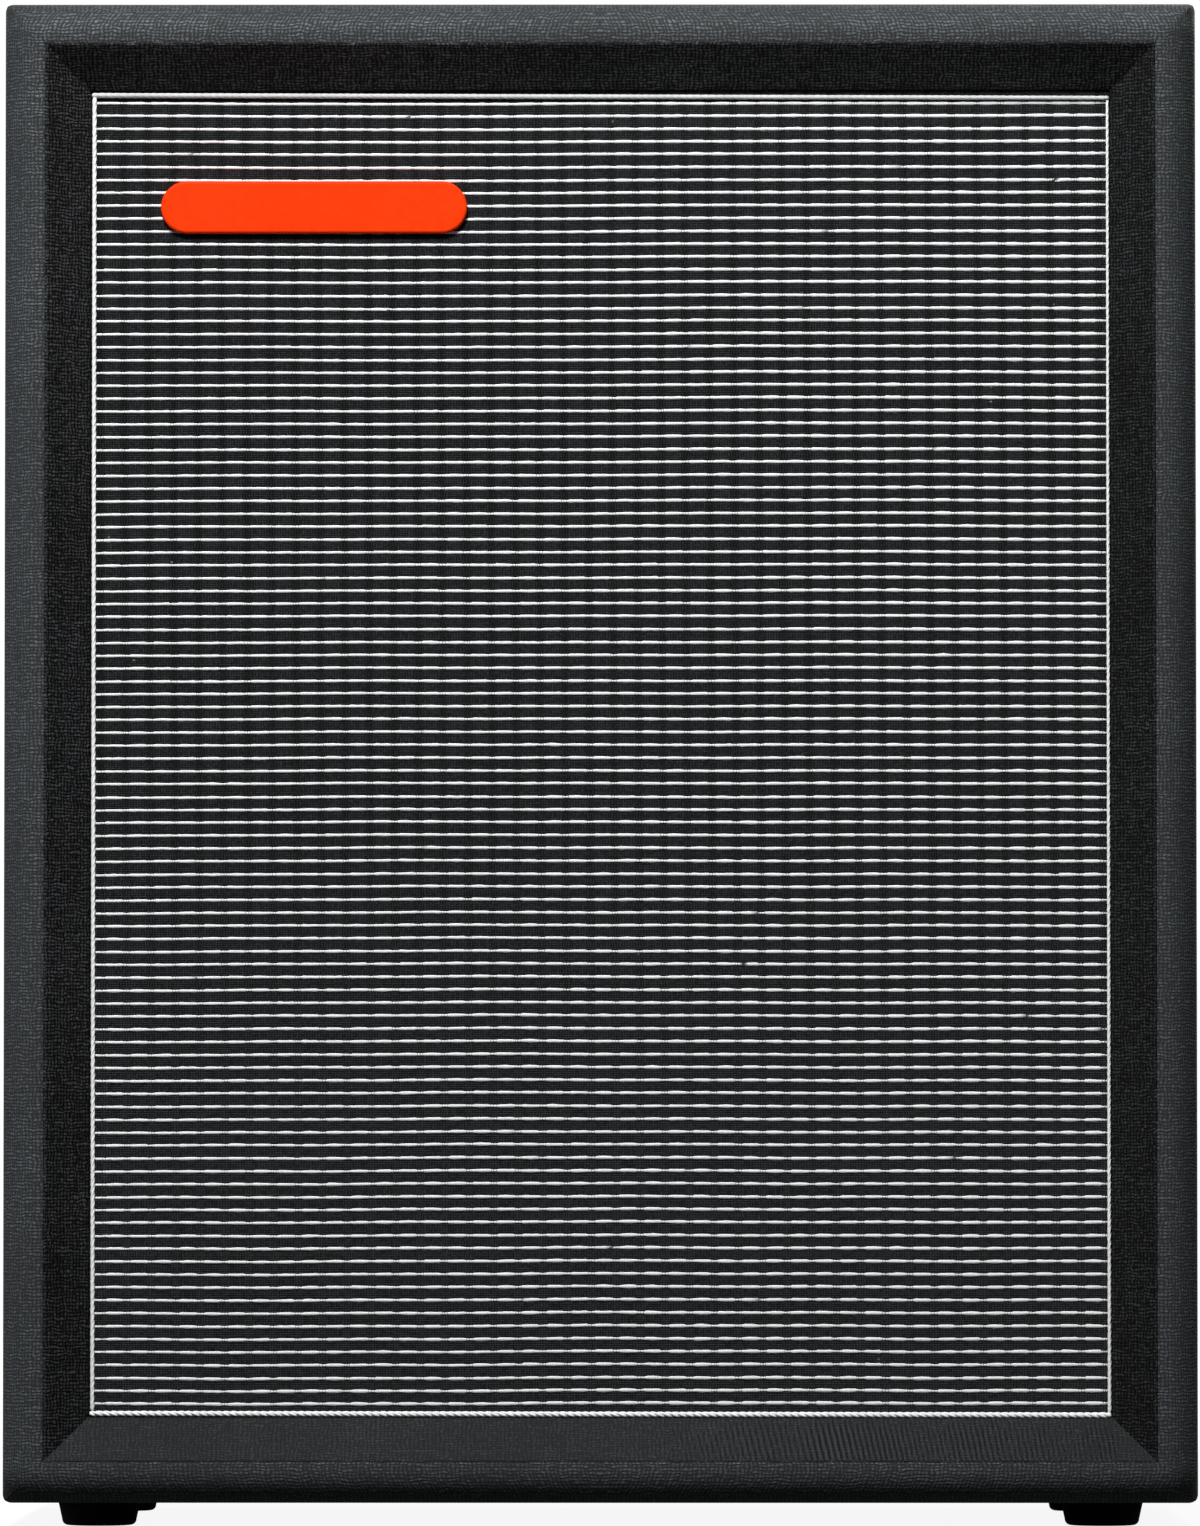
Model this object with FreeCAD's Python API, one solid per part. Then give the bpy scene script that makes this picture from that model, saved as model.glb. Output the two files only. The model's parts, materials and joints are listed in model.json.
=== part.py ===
import FreeCAD, Part
import math
import os

os.makedirs("parts", exist_ok=True)

Vector = FreeCAD.Vector

# A tall guitar speaker cabinet with two 12-inch loudspeakers in one offset column behind a
# framed grille. Millimetres, front towards -Y, +Z up, origin on the floor under the centre.

# Loudspeaker, measured outwards along its radius
cone_radius = 131.0
surround_width = 7.0
surround_rim_width = 6.0
surround_rim_gap = 0.5
gasket_width = 10.5
cutout_margin = 3.0
neck_radius = 25.4
dust_cap_radius = 36.0
ledge_width = 12.0
spider_glue_width = 3.0
neck_taper = 12.0
basket_foot_width = 20.0
magnet_radius = 78.0
plate_radius = 64.0
pole_vent_radius = 7.0

# Loudspeaker, measured backwards along its axis
gasket_thickness = 3.0
basket_sheet = 1.5
basket_curl = 3.0
cone_depth = 46.5
cone_bow = 4.0
cone_paper = 0.9
surround_cloth = 0.6
surround_ripple = 0.8
surround_ripples = 3
dust_cap_rise = 10.0
dust_cap_paper = 0.7
spider_drop = 12.0
spider_cloth = 0.6
spider_ripple = 1.6
spider_ripples = 8
spider_ripple_width = 5.6
neck_length = 24.0
plate_thickness = 8.0
magnet_thickness = 18.0
former_wall = 0.4
coil_wall = 0.7
coil_height = 12.0
coil_overhang = 2.0
coil_gap = 0.7
glue_gap = 0.3
basket_windows = 8
window_angle = 30.0
window_corner = 5.0
window_edge_margin = 9.0
bolt_count = 8
terminal_width = 32.0
terminal_depth = 15.0
terminal_thickness = 3.0
tinsel_radius = 0.8
tinsel_spacing = 16.0

# Where the loudspeakers stand in the case
speaker_gap = 14.0
speaker_end_margin = 33.8
speaker_side_margin = 39.8
blank_side_width = 199.8

# Case
cabinet_depth = 300.0
panel_thickness = 19.0
covering_thickness = 1.2
front_edge_radius = 17.0
rear_edge_radius = 6.0
long_edge_radius = 5.0
mouth_edge_radius = 2.0
rim_flat = 0.5
finger_count = 11

# Framed grille
bevel_width = 21.1
bevel_depth = 20.0
bevel_setback = 1.0
bevel_lip = 1.5
bevel_skin = 0.8
cloth_thickness = 0.8
baffle_thickness = 18.0
baffle_clearance = 0.5
piping_diameter = 2.6
piping_gap = 0.1
badge_width = 152.0
badge_height = 26.0
badge_thickness = 4.0
badge_edge_radius = 1.5
badge_pin_radius = 2.0
badge_pin_length = 12.0
badge_pin_inset = 16.0
badge_left_margin = 34.5
badge_top_margin = 45.0

# Back
back_recess = 5.0
back_thickness = 14.0
back_clearance = 1.0
batten_width = 20.0
back_screw_columns = 3
back_screw_rows = 5

# Jack dish and its two sockets
dish_height_above_case = 188.0
dish_half_width = 46.0
dish_half_height = 22.0
dish_flange_width = 18.0
dish_depth = 24.0
dish_sheet = 1.6
dish_corner = 9.0
dish_clearance = 1.0
socket_spacing = 44.0
socket_bore_radius = 3.25
socket_bush_radius = 4.75
socket_bush_length = 6.0
socket_plate_radius = 9.0
socket_plate = 2.0
socket_strap_length = 26.0
socket_strap_sheet = 1.2
socket_strap_width = 8.0
socket_nut_flats = 13.0
socket_nut_height = 2.4
contact_sheet = 0.5
contact_width = 5.0
contact_length = 21.0
contact_intrusion = 0.65
insulator_length = 8.0
insulator_height = 3.4

# Side handles
handle_height_above_case = 431.0
handle_half_length = 74.0
handle_half_height = 44.0
handle_depth = 42.0
handle_sheet = 1.6
handle_corner = 18.0
handle_floor_radius = 8.0
handle_flange_width = 22.0
handle_clearance = 1.0
grip_radius = 4.5
grip_drop = 46.0
grip_bend = 9.0
grip_end_gap = 4.0
grip_recess = 4.0
grip_hinge_rise = 18.0
pivot_clearance = 0.1
pivot_overrun = 2.5

# Feet
foot_height = 12.0
foot_radius = 20.5
foot_taper = 2.0
foot_side_inset = 46.0
foot_end_inset = 50.0
foot_edge_radius = 3.0
foot_recess_radius = 7.5
foot_recess_depth = 7.0

# Screws, the same kind wherever wood is joined
screw_radius = 2.0
screw_clearance = 0.1
screw_head_radius = 3.6
screw_head_height = 2.4
screw_point = 3.0
screw_slot = 1.0
screw_bite = 12.0
baffle_screw_bite = 9.0
baffle_screw_inset = 10.0
baffle_screw_rows = 5
baffle_screw_columns = 4
cup_washer_radius = 8.0
cup_washer_height = 2.5

# Wiring
cable_radius = 2.4
cable_slack = 46.0
cable_lead_in = 14.0

# Sizes worked out from the driving sizes
mouth_radius = cone_radius + surround_width
surround_outer_radius = mouth_radius + surround_rim_width
gasket_inner_radius = surround_outer_radius + surround_rim_gap
frame_radius = gasket_inner_radius + gasket_width
cutout_radius = mouth_radius + cutout_margin
bolt_circle_radius = gasket_inner_radius + gasket_width / 2

half_width = (
    blank_side_width + 2 * frame_radius + speaker_side_margin
) / 2 + panel_thickness + covering_thickness
inner_height = 4 * frame_radius + speaker_gap + 2 * speaker_end_margin
case_bottom = foot_height
case_top = case_bottom + inner_height + 2 * (panel_thickness + covering_thickness)
case_middle = (case_bottom + case_top) / 2
front = -cabinet_depth / 2
rear = cabinet_depth / 2

wall = panel_thickness + covering_thickness
cavity_half_width = half_width - wall
cavity_bottom = case_bottom + wall
cavity_top = case_top - wall
rim_width = wall + covering_thickness
front_round = min(front_edge_radius, rim_width - mouth_edge_radius - rim_flat)
mouth_half_width = half_width - rim_width
mouth_bottom = case_bottom + rim_width
mouth_top = case_top - rim_width

bevel_front = front + bevel_setback
cloth_front = bevel_front + bevel_depth + bevel_lip
baffle_front = cloth_front + cloth_thickness
baffle_back = baffle_front + baffle_thickness

back_face = rear - back_recess
back_panel_rear = back_face - covering_thickness
back_panel_front = back_panel_rear - back_thickness
batten_front = back_panel_front - batten_width

speaker_x = cavity_half_width - speaker_side_margin - frame_radius
speaker_half_pitch = frame_radius + speaker_gap / 2
speaker_heights = {
    "upper": case_middle + speaker_half_pitch,
    "lower": case_middle - speaker_half_pitch,
}

basket_face = gasket_thickness
basket_back = basket_face + basket_sheet
cone_rim = basket_face + glue_gap
neck_depth = cone_rim + cone_depth
ledge_depth = neck_depth + spider_drop
ledge_radius = neck_radius + spider_ripples * spider_ripple_width + ledge_width
ledge_inner_radius = ledge_radius - ledge_width
neck_end_radius = ledge_inner_radius - neck_taper
plate_depth = ledge_depth + neck_length + basket_sheet
magnet_depth = plate_depth + plate_thickness
yoke_depth = magnet_depth + magnet_thickness
former_inner_radius = neck_radius - former_wall - glue_gap
coil_outer_radius = former_inner_radius + former_wall + coil_wall
gap_outer_radius = coil_outer_radius + coil_gap
pole_radius = former_inner_radius - coil_gap
screw_hole_radius = screw_radius + screw_clearance


def block(x0, x1, y0, y1, z0, z1):
    """Box between two corners."""
    return Part.makeBox(x1 - x0, y1 - y0, z1 - z0, Vector(x0, y0, z0))


def edges_along(shape, axis):
    """Straight edges that run along an axis."""
    picked = []
    for edge in shape.Edges:
        span = edge.Vertexes[-1].Point - edge.Vertexes[0].Point
        if span.Length > 0 and span.cross(axis).Length < 1e-6 * span.Length:
            picked.append(edge)
    return picked


def rounded_block(x0, x1, y0, y1, z0, z1, axis, radius):
    """Box whose four edges along an axis are rounded."""
    shape = block(x0, x1, y0, y1, z0, z1)
    return shape.makeFillet(radius, edges_along(shape, axis))


def placed(shape, base, direction):
    """Shape drawn about +Z, turned to point along a direction from its base point."""
    turn = FreeCAD.Rotation(Vector(0, 0, 1), direction)
    moved = shape.copy()
    moved.Placement = FreeCAD.Placement(base, turn).multiply(moved.Placement)
    return moved


def outline(start, *steps):
    """Closed face in (radius, depth); a step is a point, or (via, end) for an arc."""
    edges = []
    here = Vector(start[0], 0, start[1])
    for step in list(steps) + [start]:
        if isinstance(step[0], tuple):
            via = Vector(step[0][0], 0, step[0][1])
            there = Vector(step[1][0], 0, step[1][1])
            edges.append(Part.Arc(here, via, there).toShape())
        else:
            there = Vector(step[0], 0, step[1])
            edges.append(Part.makeLine(here, there))
        here = there
    return Part.Face(Part.Wire(edges))


def turned(face, base, direction, angle=360):
    """Solid turned from a (radius, depth) face about an axis through the base."""
    solid = face.revolve(Vector(0, 0, 0), Vector(0, 0, 1), angle)
    if solid.Volume < 0:
        solid.reverse()
    return placed(solid, base, direction)


def ring(inner_radius, outer_radius, depth, thickness, base, direction):
    """Flat ring, its near face at a depth along the axis."""
    face = outline(
        (inner_radius, depth),
        (outer_radius, depth),
        (outer_radius, depth + thickness),
        (inner_radius, depth + thickness),
    )
    return turned(face, base, direction)


def pin(base, direction, radius, length):
    """Plain round bar from a base point."""
    return Part.makeCylinder(radius, length, base, direction)


def holes(bases, direction, radius, length):
    """One cutter holding a round hole at each base point."""
    return Part.makeCompound([pin(base, direction, radius, length) for base in bases])


def screw_holes(bases, direction, length):
    """Cutter for screw shanks from each seat along a direction."""
    return holes(bases, direction, screw_hole_radius, length + screw_clearance)


def spread(low, high, count):
    """Evenly spaced positions, both ends included."""
    return [low + (high - low) * i / (count - 1) for i in range(count)]


def bent_bar(points, radius, bend=None):
    """Round bar through corner points, each corner an arc as large as its runs allow."""
    edges = []
    here = points[0]
    for before, corner, after in zip(points, points[1:], points[2:]):
        inward = (before - corner).normalize()
        onward = (after - corner).normalize()
        half_turn = (math.pi - inward.getAngle(onward)) / 2
        shorter = min((before - corner).Length, (after - corner).Length)
        trim = 0.45 * shorter if bend is None else bend * math.tan(half_turn)
        first = corner + inward * trim
        last = corner + onward * trim
        arc_radius = trim / math.tan(half_turn)
        bisector = (inward + onward).normalize()
        centre = corner + bisector * (arc_radius / math.cos(half_turn))
        via = centre - bisector * arc_radius
        edges.append(Part.makeLine(here, first))
        edges.append(Part.Arc(first, via, last).toShape())
        here = last
    edges.append(Part.makeLine(here, points[-1]))
    path = Part.Wire(edges)
    section = Part.Wire(Part.makeCircle(radius, points[0], points[1] - points[0]))
    return path.makePipeShell([section], True, False)


def countersunk_screw(length):
    """Slotted screw, its flat head flush at depth 0."""
    taper = screw_head_radius - screw_radius
    face = outline(
        (0, 0),
        (screw_head_radius, 0),
        (screw_radius, taper),
        (screw_radius, length - screw_point),
        (0, length),
    )
    body = turned(face, Vector(0, 0, 0), Vector(0, 0, 1))
    return body.cut(screw_slot_cutter(0))


def domed_screw(length):
    """Slotted screw with a domed head that seats at depth 0."""
    shoulder = 0.75
    face = outline(
        (0, -screw_head_height),
        ((screw_head_radius * shoulder, -screw_head_height * shoulder), (screw_head_radius, 0)),
        (screw_radius, 0),
        (screw_radius, length - screw_point),
        (0, length),
    )
    body = turned(face, Vector(0, 0, 0), Vector(0, 0, 1))
    return body.cut(screw_slot_cutter(-screw_head_height))


def screw_slot_cutter(head_top):
    """Driver slot across a screw head."""
    reach = 2 * screw_head_radius
    half_slot = screw_slot / 2
    return block(-reach, reach, -half_slot, half_slot, head_top - screw_slot, head_top + screw_slot)


def countersinks(bases, direction):
    """Cutter for flush screw heads and their shanks, from each base along a direction."""
    lip = screw_head_radius + screw_clearance
    taper = lip - screw_hole_radius
    face = outline((0, 0), (lip, 0), (screw_hole_radius, taper), (0, taper))
    return Part.makeCompound([turned(face, base, direction) for base in bases])


def group(shape, bases, direction):
    """Separate copies of one shape at each base point."""
    return Part.makeCompound([placed(shape, base, direction) for base in bases])


def export(shape, node):
    """Write one sub-part."""
    shape.exportStep("parts/" + node + ".step")


TO_FRONT = Vector(0, -1, 0)
TO_REAR = Vector(0, 1, 0)
UP = Vector(0, 0, 1)


# Case panels and covering

def rounded_case(inset):
    """Outer form of the case: big front round-over, small rear and long edge rounds."""
    x = half_width - inset
    y0 = front + inset
    y1 = rear - inset
    z0 = case_bottom + inset
    z1 = case_top - inset
    form = rounded_block(-x, x, y0, y1, z0, z1, Vector(0, 1, 0), long_edge_radius - inset)
    for axis in (Vector(1, 0, 0), Vector(0, 0, 1)):
        side = block(-x, x, y0, y1, z0, z1)
        long_edges = edges_along(side, axis)
        front_edges = [edge for edge in long_edges if edge.CenterOfMass.y < 0]
        side = side.makeFillet(front_round - inset, front_edges)
        rear_edges = [edge for edge in edges_along(side, axis) if edge.CenterOfMass.y > y1 - 1e-6]
        rear_edges = [edge for edge in rear_edges if edge_is_corner(edge, x, z0, z1, axis)]
        side = side.makeFillet(rear_edge_radius - inset, rear_edges)
        form = form.common(side)
    return form


def edge_is_corner(edge, x, z0, z1, axis):
    """True for a box corner edge that runs along the axis."""
    middle = edge.CenterOfMass
    if axis.x:
        return min(abs(middle.z - z0), abs(middle.z - z1)) < 1e-6
    return abs(abs(middle.x) - x) < 1e-6


def mouth_block(inset, y0, y1):
    """Prism of the case opening, grown or shrunk from the covered mouth."""
    x = mouth_half_width - inset
    return block(-x, x, y0, y1, mouth_bottom + inset, mouth_top - inset)


def round_front_mouth(shape, inset, radius):
    """Round the inner front edge of a frame-shaped solid."""
    face_y = shape.BoundBox.YMin
    x = mouth_half_width - inset
    z0 = mouth_bottom + inset
    z1 = mouth_top - inset
    picked = []
    for edge in shape.Edges:
        middle = edge.CenterOfMass
        on_side = abs(abs(middle.x) - x) < 1e-6 and edge.Length > 1 and z0 < middle.z < z1
        on_end = min(abs(middle.z - z0), abs(middle.z - z1)) < 1e-6 and abs(middle.x) < x
        if abs(middle.y - face_y) < 1e-6 and (on_side or on_end):
            picked.append(edge)
    return shape.makeFillet(radius, picked)


handle_z = case_bottom + handle_height_above_case
handle_cut_half_length = handle_half_length + handle_sheet + pivot_overrun + handle_clearance
handle_cut_half_height = handle_half_height + handle_sheet + handle_clearance
handle_cut = rounded_block(
    -2 * half_width, 2 * half_width,
    -handle_cut_half_length, handle_cut_half_length,
    handle_z - handle_cut_half_height, handle_z + handle_cut_half_height,
    Vector(1, 0, 0), handle_corner,
)
handle_screw_y = handle_half_length + handle_sheet + handle_flange_width / 2
handle_screw_z = handle_half_height + handle_sheet + handle_flange_width / 2
handle_screw_places = [
    (y, handle_z + z) for y in (-handle_screw_y, 0, handle_screw_y) for z in (-handle_screw_z, handle_screw_z)
]
handle_screw_length = handle_sheet + covering_thickness + screw_bite


def handle_screw_bases(side):
    """Screw seats on one handle flange; side is +1 for the right, -1 for the left."""
    x = side * (half_width + handle_sheet)
    return [Vector(x, y, z) for y, z in handle_screw_places]


def handle_screw_holes(side):
    """Cutter for the screws of one handle."""
    return screw_holes(handle_screw_bases(side), Vector(-side, 0, 0), handle_screw_length)


foot_x = half_width - foot_side_inset
foot_y = rear - foot_end_inset
foot_places = [(x, y) for x in (-foot_x, foot_x) for y in (-foot_y, foot_y)]
foot_screw_bases = [Vector(x, y, foot_recess_depth) for x, y in foot_places]
foot_screw_length = foot_height - foot_recess_depth + covering_thickness + screw_bite

cavity_inset = -covering_thickness
wood_case = rounded_case(covering_thickness).cut(mouth_block(cavity_inset, 2 * front, 2 * rear))
wood_case = round_front_mouth(wood_case, cavity_inset, mouth_edge_radius - covering_thickness)

covered_case = rounded_case(0).cut(mouth_block(0, 2 * front, 2 * rear))
covered_case = round_front_mouth(covered_case, 0, mouth_edge_radius)
covering = covered_case.cut(wood_case)
covering = covering.cut(mouth_block(cavity_inset, cloth_front, back_panel_rear))
covering = covering.cut(handle_cut)
foot_holes = screw_holes(foot_screw_bases, UP, foot_screw_length)
covering = covering.cut(foot_holes)
for side in (-1, 1):
    covering = covering.cut(handle_screw_holes(side))
export(covering, "vinyl_covering")


def finger_blocks(turn):
    """Blocks over the four long corners: the fingers of the ends (1) or of the sides (0)."""
    step = (cabinet_depth - 2 * covering_thickness) / finger_count
    blocks = []
    for i in range(turn, finger_count, 2):
        y0 = front + covering_thickness + i * step
        y0 = y0 if i else 2 * front
        y1 = front + covering_thickness + (i + 1) * step
        y1 = y1 if i < finger_count - 1 else 2 * rear
        for x0, x1 in ((-half_width, -cavity_half_width), (cavity_half_width, half_width)):
            blocks.append(block(x0, x1, y0, y1, case_bottom, cavity_bottom))
            blocks.append(block(x0, x1, y0, y1, cavity_top, case_top))
    return Part.makeCompound(blocks)


end_fingers = finger_blocks(1)
side_fingers = finger_blocks(0)
floor_slab = block(-half_width, half_width, 2 * front, 2 * rear, case_bottom, cavity_bottom)
roof_slab = block(-half_width, half_width, 2 * front, 2 * rear, cavity_top, case_top)
export(wood_case.common(roof_slab).cut(side_fingers), "top_panel")
bottom_panel = wood_case.common(floor_slab).cut(side_fingers)
export(bottom_panel.cut(foot_holes), "bottom_panel")
for side, name in ((-1, "left"), (1, "right")):
    near, far = sorted((side * cavity_half_width, side * half_width))
    slab = block(near, far, 2 * front, 2 * rear, case_bottom, case_top)
    panel = wood_case.common(slab).cut(end_fingers)
    panel = panel.cut(handle_cut).cut(handle_screw_holes(side))
    export(panel, name + "_side_panel")


# Bevelled frame round the grille

baffle_screw_x = cavity_half_width - baffle_screw_inset
baffle_screw_low = cavity_bottom + baffle_screw_inset
baffle_screw_high = cavity_top - baffle_screw_inset
baffle_screw_bases = [
    Vector(x, baffle_back, z)
    for x in (-baffle_screw_x, baffle_screw_x)
    for z in spread(baffle_screw_low, baffle_screw_high, baffle_screw_rows + 2)[1:-1]
]
baffle_screw_bases += [
    Vector(x, baffle_back, z)
    for x in spread(-baffle_screw_x, baffle_screw_x, baffle_screw_columns + 2)[1:-1]
    for z in (baffle_screw_low, baffle_screw_high)
]
baffle_screw_length = baffle_thickness + cloth_thickness + baffle_screw_bite
baffle_screw_holes = screw_holes(baffle_screw_bases, TO_FRONT, baffle_screw_length)


def bevel_void(skin):
    """Funnel-shaped opening inside the frame, set back by a skin thickness."""
    slope = math.hypot(bevel_width, bevel_depth)
    across = skin * slope / bevel_depth
    wide = [
        Vector(x, bevel_front, z)
        for x, z in mouth_corners(-across)
    ]
    narrow = [
        Vector(x, bevel_front + bevel_depth, z)
        for x, z in mouth_corners(bevel_width - across)
    ]
    funnel = Part.makeLoft([Part.makePolygon(wide), Part.makePolygon(narrow)], True, True)
    lip = mouth_block(bevel_width - across, bevel_front + bevel_depth, cloth_front)
    return funnel.fuse(lip)


def mouth_corners(inset):
    """Closed corner loop of the mouth, inset all round."""
    x = mouth_half_width - inset
    z0 = mouth_bottom + inset
    z1 = mouth_top - inset
    return [(-x, z0), (x, z0), (x, z1), (-x, z1), (-x, z0)]


def mitre_wedges():
    """Four wedges that part the frame along its corner mitres."""
    reach = mouth_half_width
    outer = mouth_corners(0)
    inner = mouth_corners(reach - 1)
    wedges = []
    for i in range(4):
        corners = [outer[i], outer[i + 1], inner[i + 1], inner[i], outer[i]]
        base = Part.Face(Part.makePolygon([Vector(x, front, z) for x, z in corners]))
        wedges.append(base.extrude(Vector(0, cabinet_depth, 0)))
    return dict(zip(("bottom", "right", "top", "left"), wedges))


frame_block = mouth_block(0, bevel_front, cloth_front)
moulding = frame_block.cut(bevel_void(bevel_skin)).cut(baffle_screw_holes)
bevel_cover = frame_block.common(bevel_void(bevel_skin)).cut(bevel_void(0))
bevel_strips = []
for name, wedge in mitre_wedges().items():
    export(moulding.common(wedge), "bevel_" + name)
    bevel_strips += bevel_cover.common(wedge).Solids
export(Part.makeCompound(bevel_strips), "bevel_covering")

# Grille cloth, piping and badge

grille_half_width = cavity_half_width - baffle_clearance
grille_bottom = cavity_bottom + baffle_clearance
grille_top = cavity_top - baffle_clearance
badge_x0 = badge_left_margin + bevel_width - mouth_half_width
badge_x1 = badge_x0 + badge_width
badge_z1 = mouth_top - bevel_width - badge_top_margin
badge_z0 = badge_z1 - badge_height
badge_z = (badge_z0 + badge_z1) / 2
badge_pin_columns = (badge_x0 + badge_pin_inset, badge_x1 - badge_pin_inset)
badge_pin_bases = [Vector(x, cloth_front, badge_z) for x in badge_pin_columns]
badge_hole_radius = badge_pin_radius + screw_clearance
badge_pin_holes = holes(badge_pin_bases, TO_REAR, badge_hole_radius, badge_pin_length + screw_clearance)

cloth = block(-grille_half_width, grille_half_width, cloth_front, baffle_front, grille_bottom, grille_top)
export(cloth.cut(baffle_screw_holes).cut(badge_pin_holes), "grille_cloth")

piping_radius = piping_diameter / 2
piping_inset = bevel_width + piping_gap + piping_radius
piping_x = mouth_half_width - piping_inset
piping_y = cloth_front - piping_gap - piping_radius
piping_z0 = mouth_bottom + piping_inset
piping_z1 = mouth_top - piping_inset


def piping_cords():
    """Four straight lengths of cord; the top and bottom ones run over the ends of the sides."""
    edge = piping_x + piping_radius
    clear = piping_radius + piping_gap
    upright = piping_z1 - piping_z0 - 2 * clear
    cords = []
    for z in (piping_z0, piping_z1):
        cords.append(pin(Vector(-edge, piping_y, z), Vector(1, 0, 0), piping_radius, 2 * edge))
    for x in (-piping_x, piping_x):
        cords.append(pin(Vector(x, piping_y, piping_z0 + clear), UP, piping_radius, upright))
    return Part.makeCompound(cords)


export(piping_cords(), "grille_piping")

badge = rounded_block(
    badge_x0, badge_x1, cloth_front - badge_thickness, cloth_front, badge_z0, badge_z1,
    Vector(0, 1, 0), badge_height / 2 - 0.01,
)
badge_rim = [edge for edge in badge.Edges if edge.BoundBox.YMax < cloth_front - badge_thickness / 2]
badge = badge.makeFillet(badge_edge_radius, badge_rim)
badge = badge.multiFuse([pin(base, TO_REAR, badge_pin_radius, badge_pin_length) for base in badge_pin_bases])
export(badge, "badge_bar")

# Baffle board and its screws

speaker_bases = {name: Vector(speaker_x, baffle_back, z) for name, z in speaker_heights.items()}
bolt_angles = [2 * math.pi * (i + 0.5) / bolt_count for i in range(bolt_count)]
speaker_screw_length = basket_back + screw_bite


def around(base, radius, angle, depth):
    """Point beside a speaker axis at a radius, angle and depth behind the baffle."""
    return base + Vector(radius * math.cos(angle), depth, radius * math.sin(angle))


speaker_screw_bases = [
    around(base, bolt_circle_radius, angle, basket_back)
    for base in speaker_bases.values()
    for angle in bolt_angles
]
baffle = block(-grille_half_width, grille_half_width, baffle_front, baffle_back, grille_bottom, grille_top)
for base in speaker_bases.values():
    baffle = baffle.cut(pin(base, TO_FRONT, cutout_radius, baffle_thickness))
baffle = baffle.cut(baffle_screw_holes).cut(countersinks(baffle_screw_bases, TO_FRONT)).cut(badge_pin_holes)
baffle = baffle.cut(screw_holes(speaker_screw_bases, TO_FRONT, speaker_screw_length))
export(baffle, "baffle_board")
export(group(countersunk_screw(baffle_screw_length), baffle_screw_bases, TO_FRONT), "baffle_screws")

# Loudspeakers


def cone_arc(shift):
    """Start, via and end of the bowed cone line, shifted back by the paper."""
    start = (cone_radius, cone_rim + shift)
    via = ((cone_radius + neck_radius) / 2, cone_rim + cone_depth / 2 - cone_bow + shift)
    end = (neck_radius, neck_depth + shift)
    return start, via, end


def cone_depth_at(radius):
    """Depth of the cone's front surface at a radius."""
    start, via, end = [Vector(r, 0, d) for r, d in cone_arc(0)]
    circle = Part.Arc(start, via, end).toShape().Curve
    offset = math.sqrt(circle.Radius ** 2 - (radius - circle.Center.x) ** 2)
    return circle.Center.z - math.copysign(offset, circle.Center.z - via.z)


def rippled_steps(radius, step, depth, ripple, count, sign):
    """Arc steps for ripples that run outwards (positive step) or inwards (negative)."""
    steps = []
    for i in range(count):
        via = (radius + step / 2, depth + sign * ripple)
        radius += step
        steps.append((via, (radius, depth)))
        sign = -sign
    return steps


def rippled_ring(radii, depth, thickness, ripple, count):
    """Pressed cloth ring: flat inner rim, ripples and flat outer rim at four radii."""
    inner, ripple_start, ripple_end, outer = radii
    step = (ripple_end - ripple_start) / count
    last_sign = 1 if count % 2 else -1
    steps = [(ripple_start, depth)]
    steps += rippled_steps(ripple_start, step, depth, ripple, count, -1)
    steps += [(outer, depth), (outer, depth + thickness), (ripple_end, depth + thickness)]
    steps += rippled_steps(ripple_end, -step, depth + thickness, ripple, count, -last_sign)
    steps += [(inner, depth + thickness)]
    return outline((inner, depth), *steps)


def basket_solid(base):
    """Pressed steel basket: curled flange, windowed cone wall, spider ledge and neck."""
    sheet = basket_sheet
    neck_end = ledge_depth + neck_length
    face = outline(
        (frame_radius, basket_face),
        (mouth_radius, basket_face),
        (ledge_radius, ledge_depth),
        (ledge_inner_radius, ledge_depth),
        (neck_end_radius, neck_end),
        (neck_end_radius - basket_foot_width, neck_end),
        (neck_end_radius - basket_foot_width, neck_end + sheet),
        (neck_end_radius + sheet, neck_end + sheet),
        (ledge_inner_radius + sheet, ledge_depth + sheet),
        (ledge_radius + sheet, ledge_depth + sheet),
        (mouth_radius + sheet, basket_back),
        (frame_radius - sheet, basket_back),
        (frame_radius - sheet, basket_back + basket_curl),
        (frame_radius, basket_back + basket_curl),
    )
    basket = turned(face, base, TO_REAR)
    window_face = outline(
        (ledge_radius + window_edge_margin, basket_back),
        (mouth_radius - window_edge_margin, basket_back),
        (mouth_radius - window_edge_margin, ledge_depth),
        (ledge_radius + window_edge_margin, ledge_depth),
    )
    window = turned(window_face, Vector(0, 0, 0), UP, window_angle)
    radial = []
    for edge in window.Edges:
        span = edge.Vertexes[-1].Point - edge.Vertexes[0].Point
        if abs(span.z) < 1e-6 and abs(span.Length - window_face.BoundBox.XLength) < 1e-6:
            radial.append(edge)
    window = window.makeFillet(window_corner, radial)
    window.rotate(Vector(0, 0, 0), UP, -window_angle / 2)
    cutters = []
    for i in range(basket_windows):
        turn = window.copy()
        turn.rotate(Vector(0, 0, 0), UP, 360.0 * i / basket_windows)
        cutters.append(placed(turn, base, TO_REAR))
    cutters.append(flange_holes(base))
    return basket.cut(Part.makeCompound(cutters))


def flange_holes(base):
    """Cutter for the screws through one speaker's flange and gasket."""
    bolts = [around(base, bolt_circle_radius, angle, 0) for angle in bolt_angles]
    return screw_holes(bolts, TO_REAR, basket_back)


def gasket_solid(base):
    """Card ring between the flange and the baffle."""
    gasket = ring(gasket_inner_radius, frame_radius, 0, gasket_thickness, base, TO_REAR)
    return gasket.cut(flange_holes(base))


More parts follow.
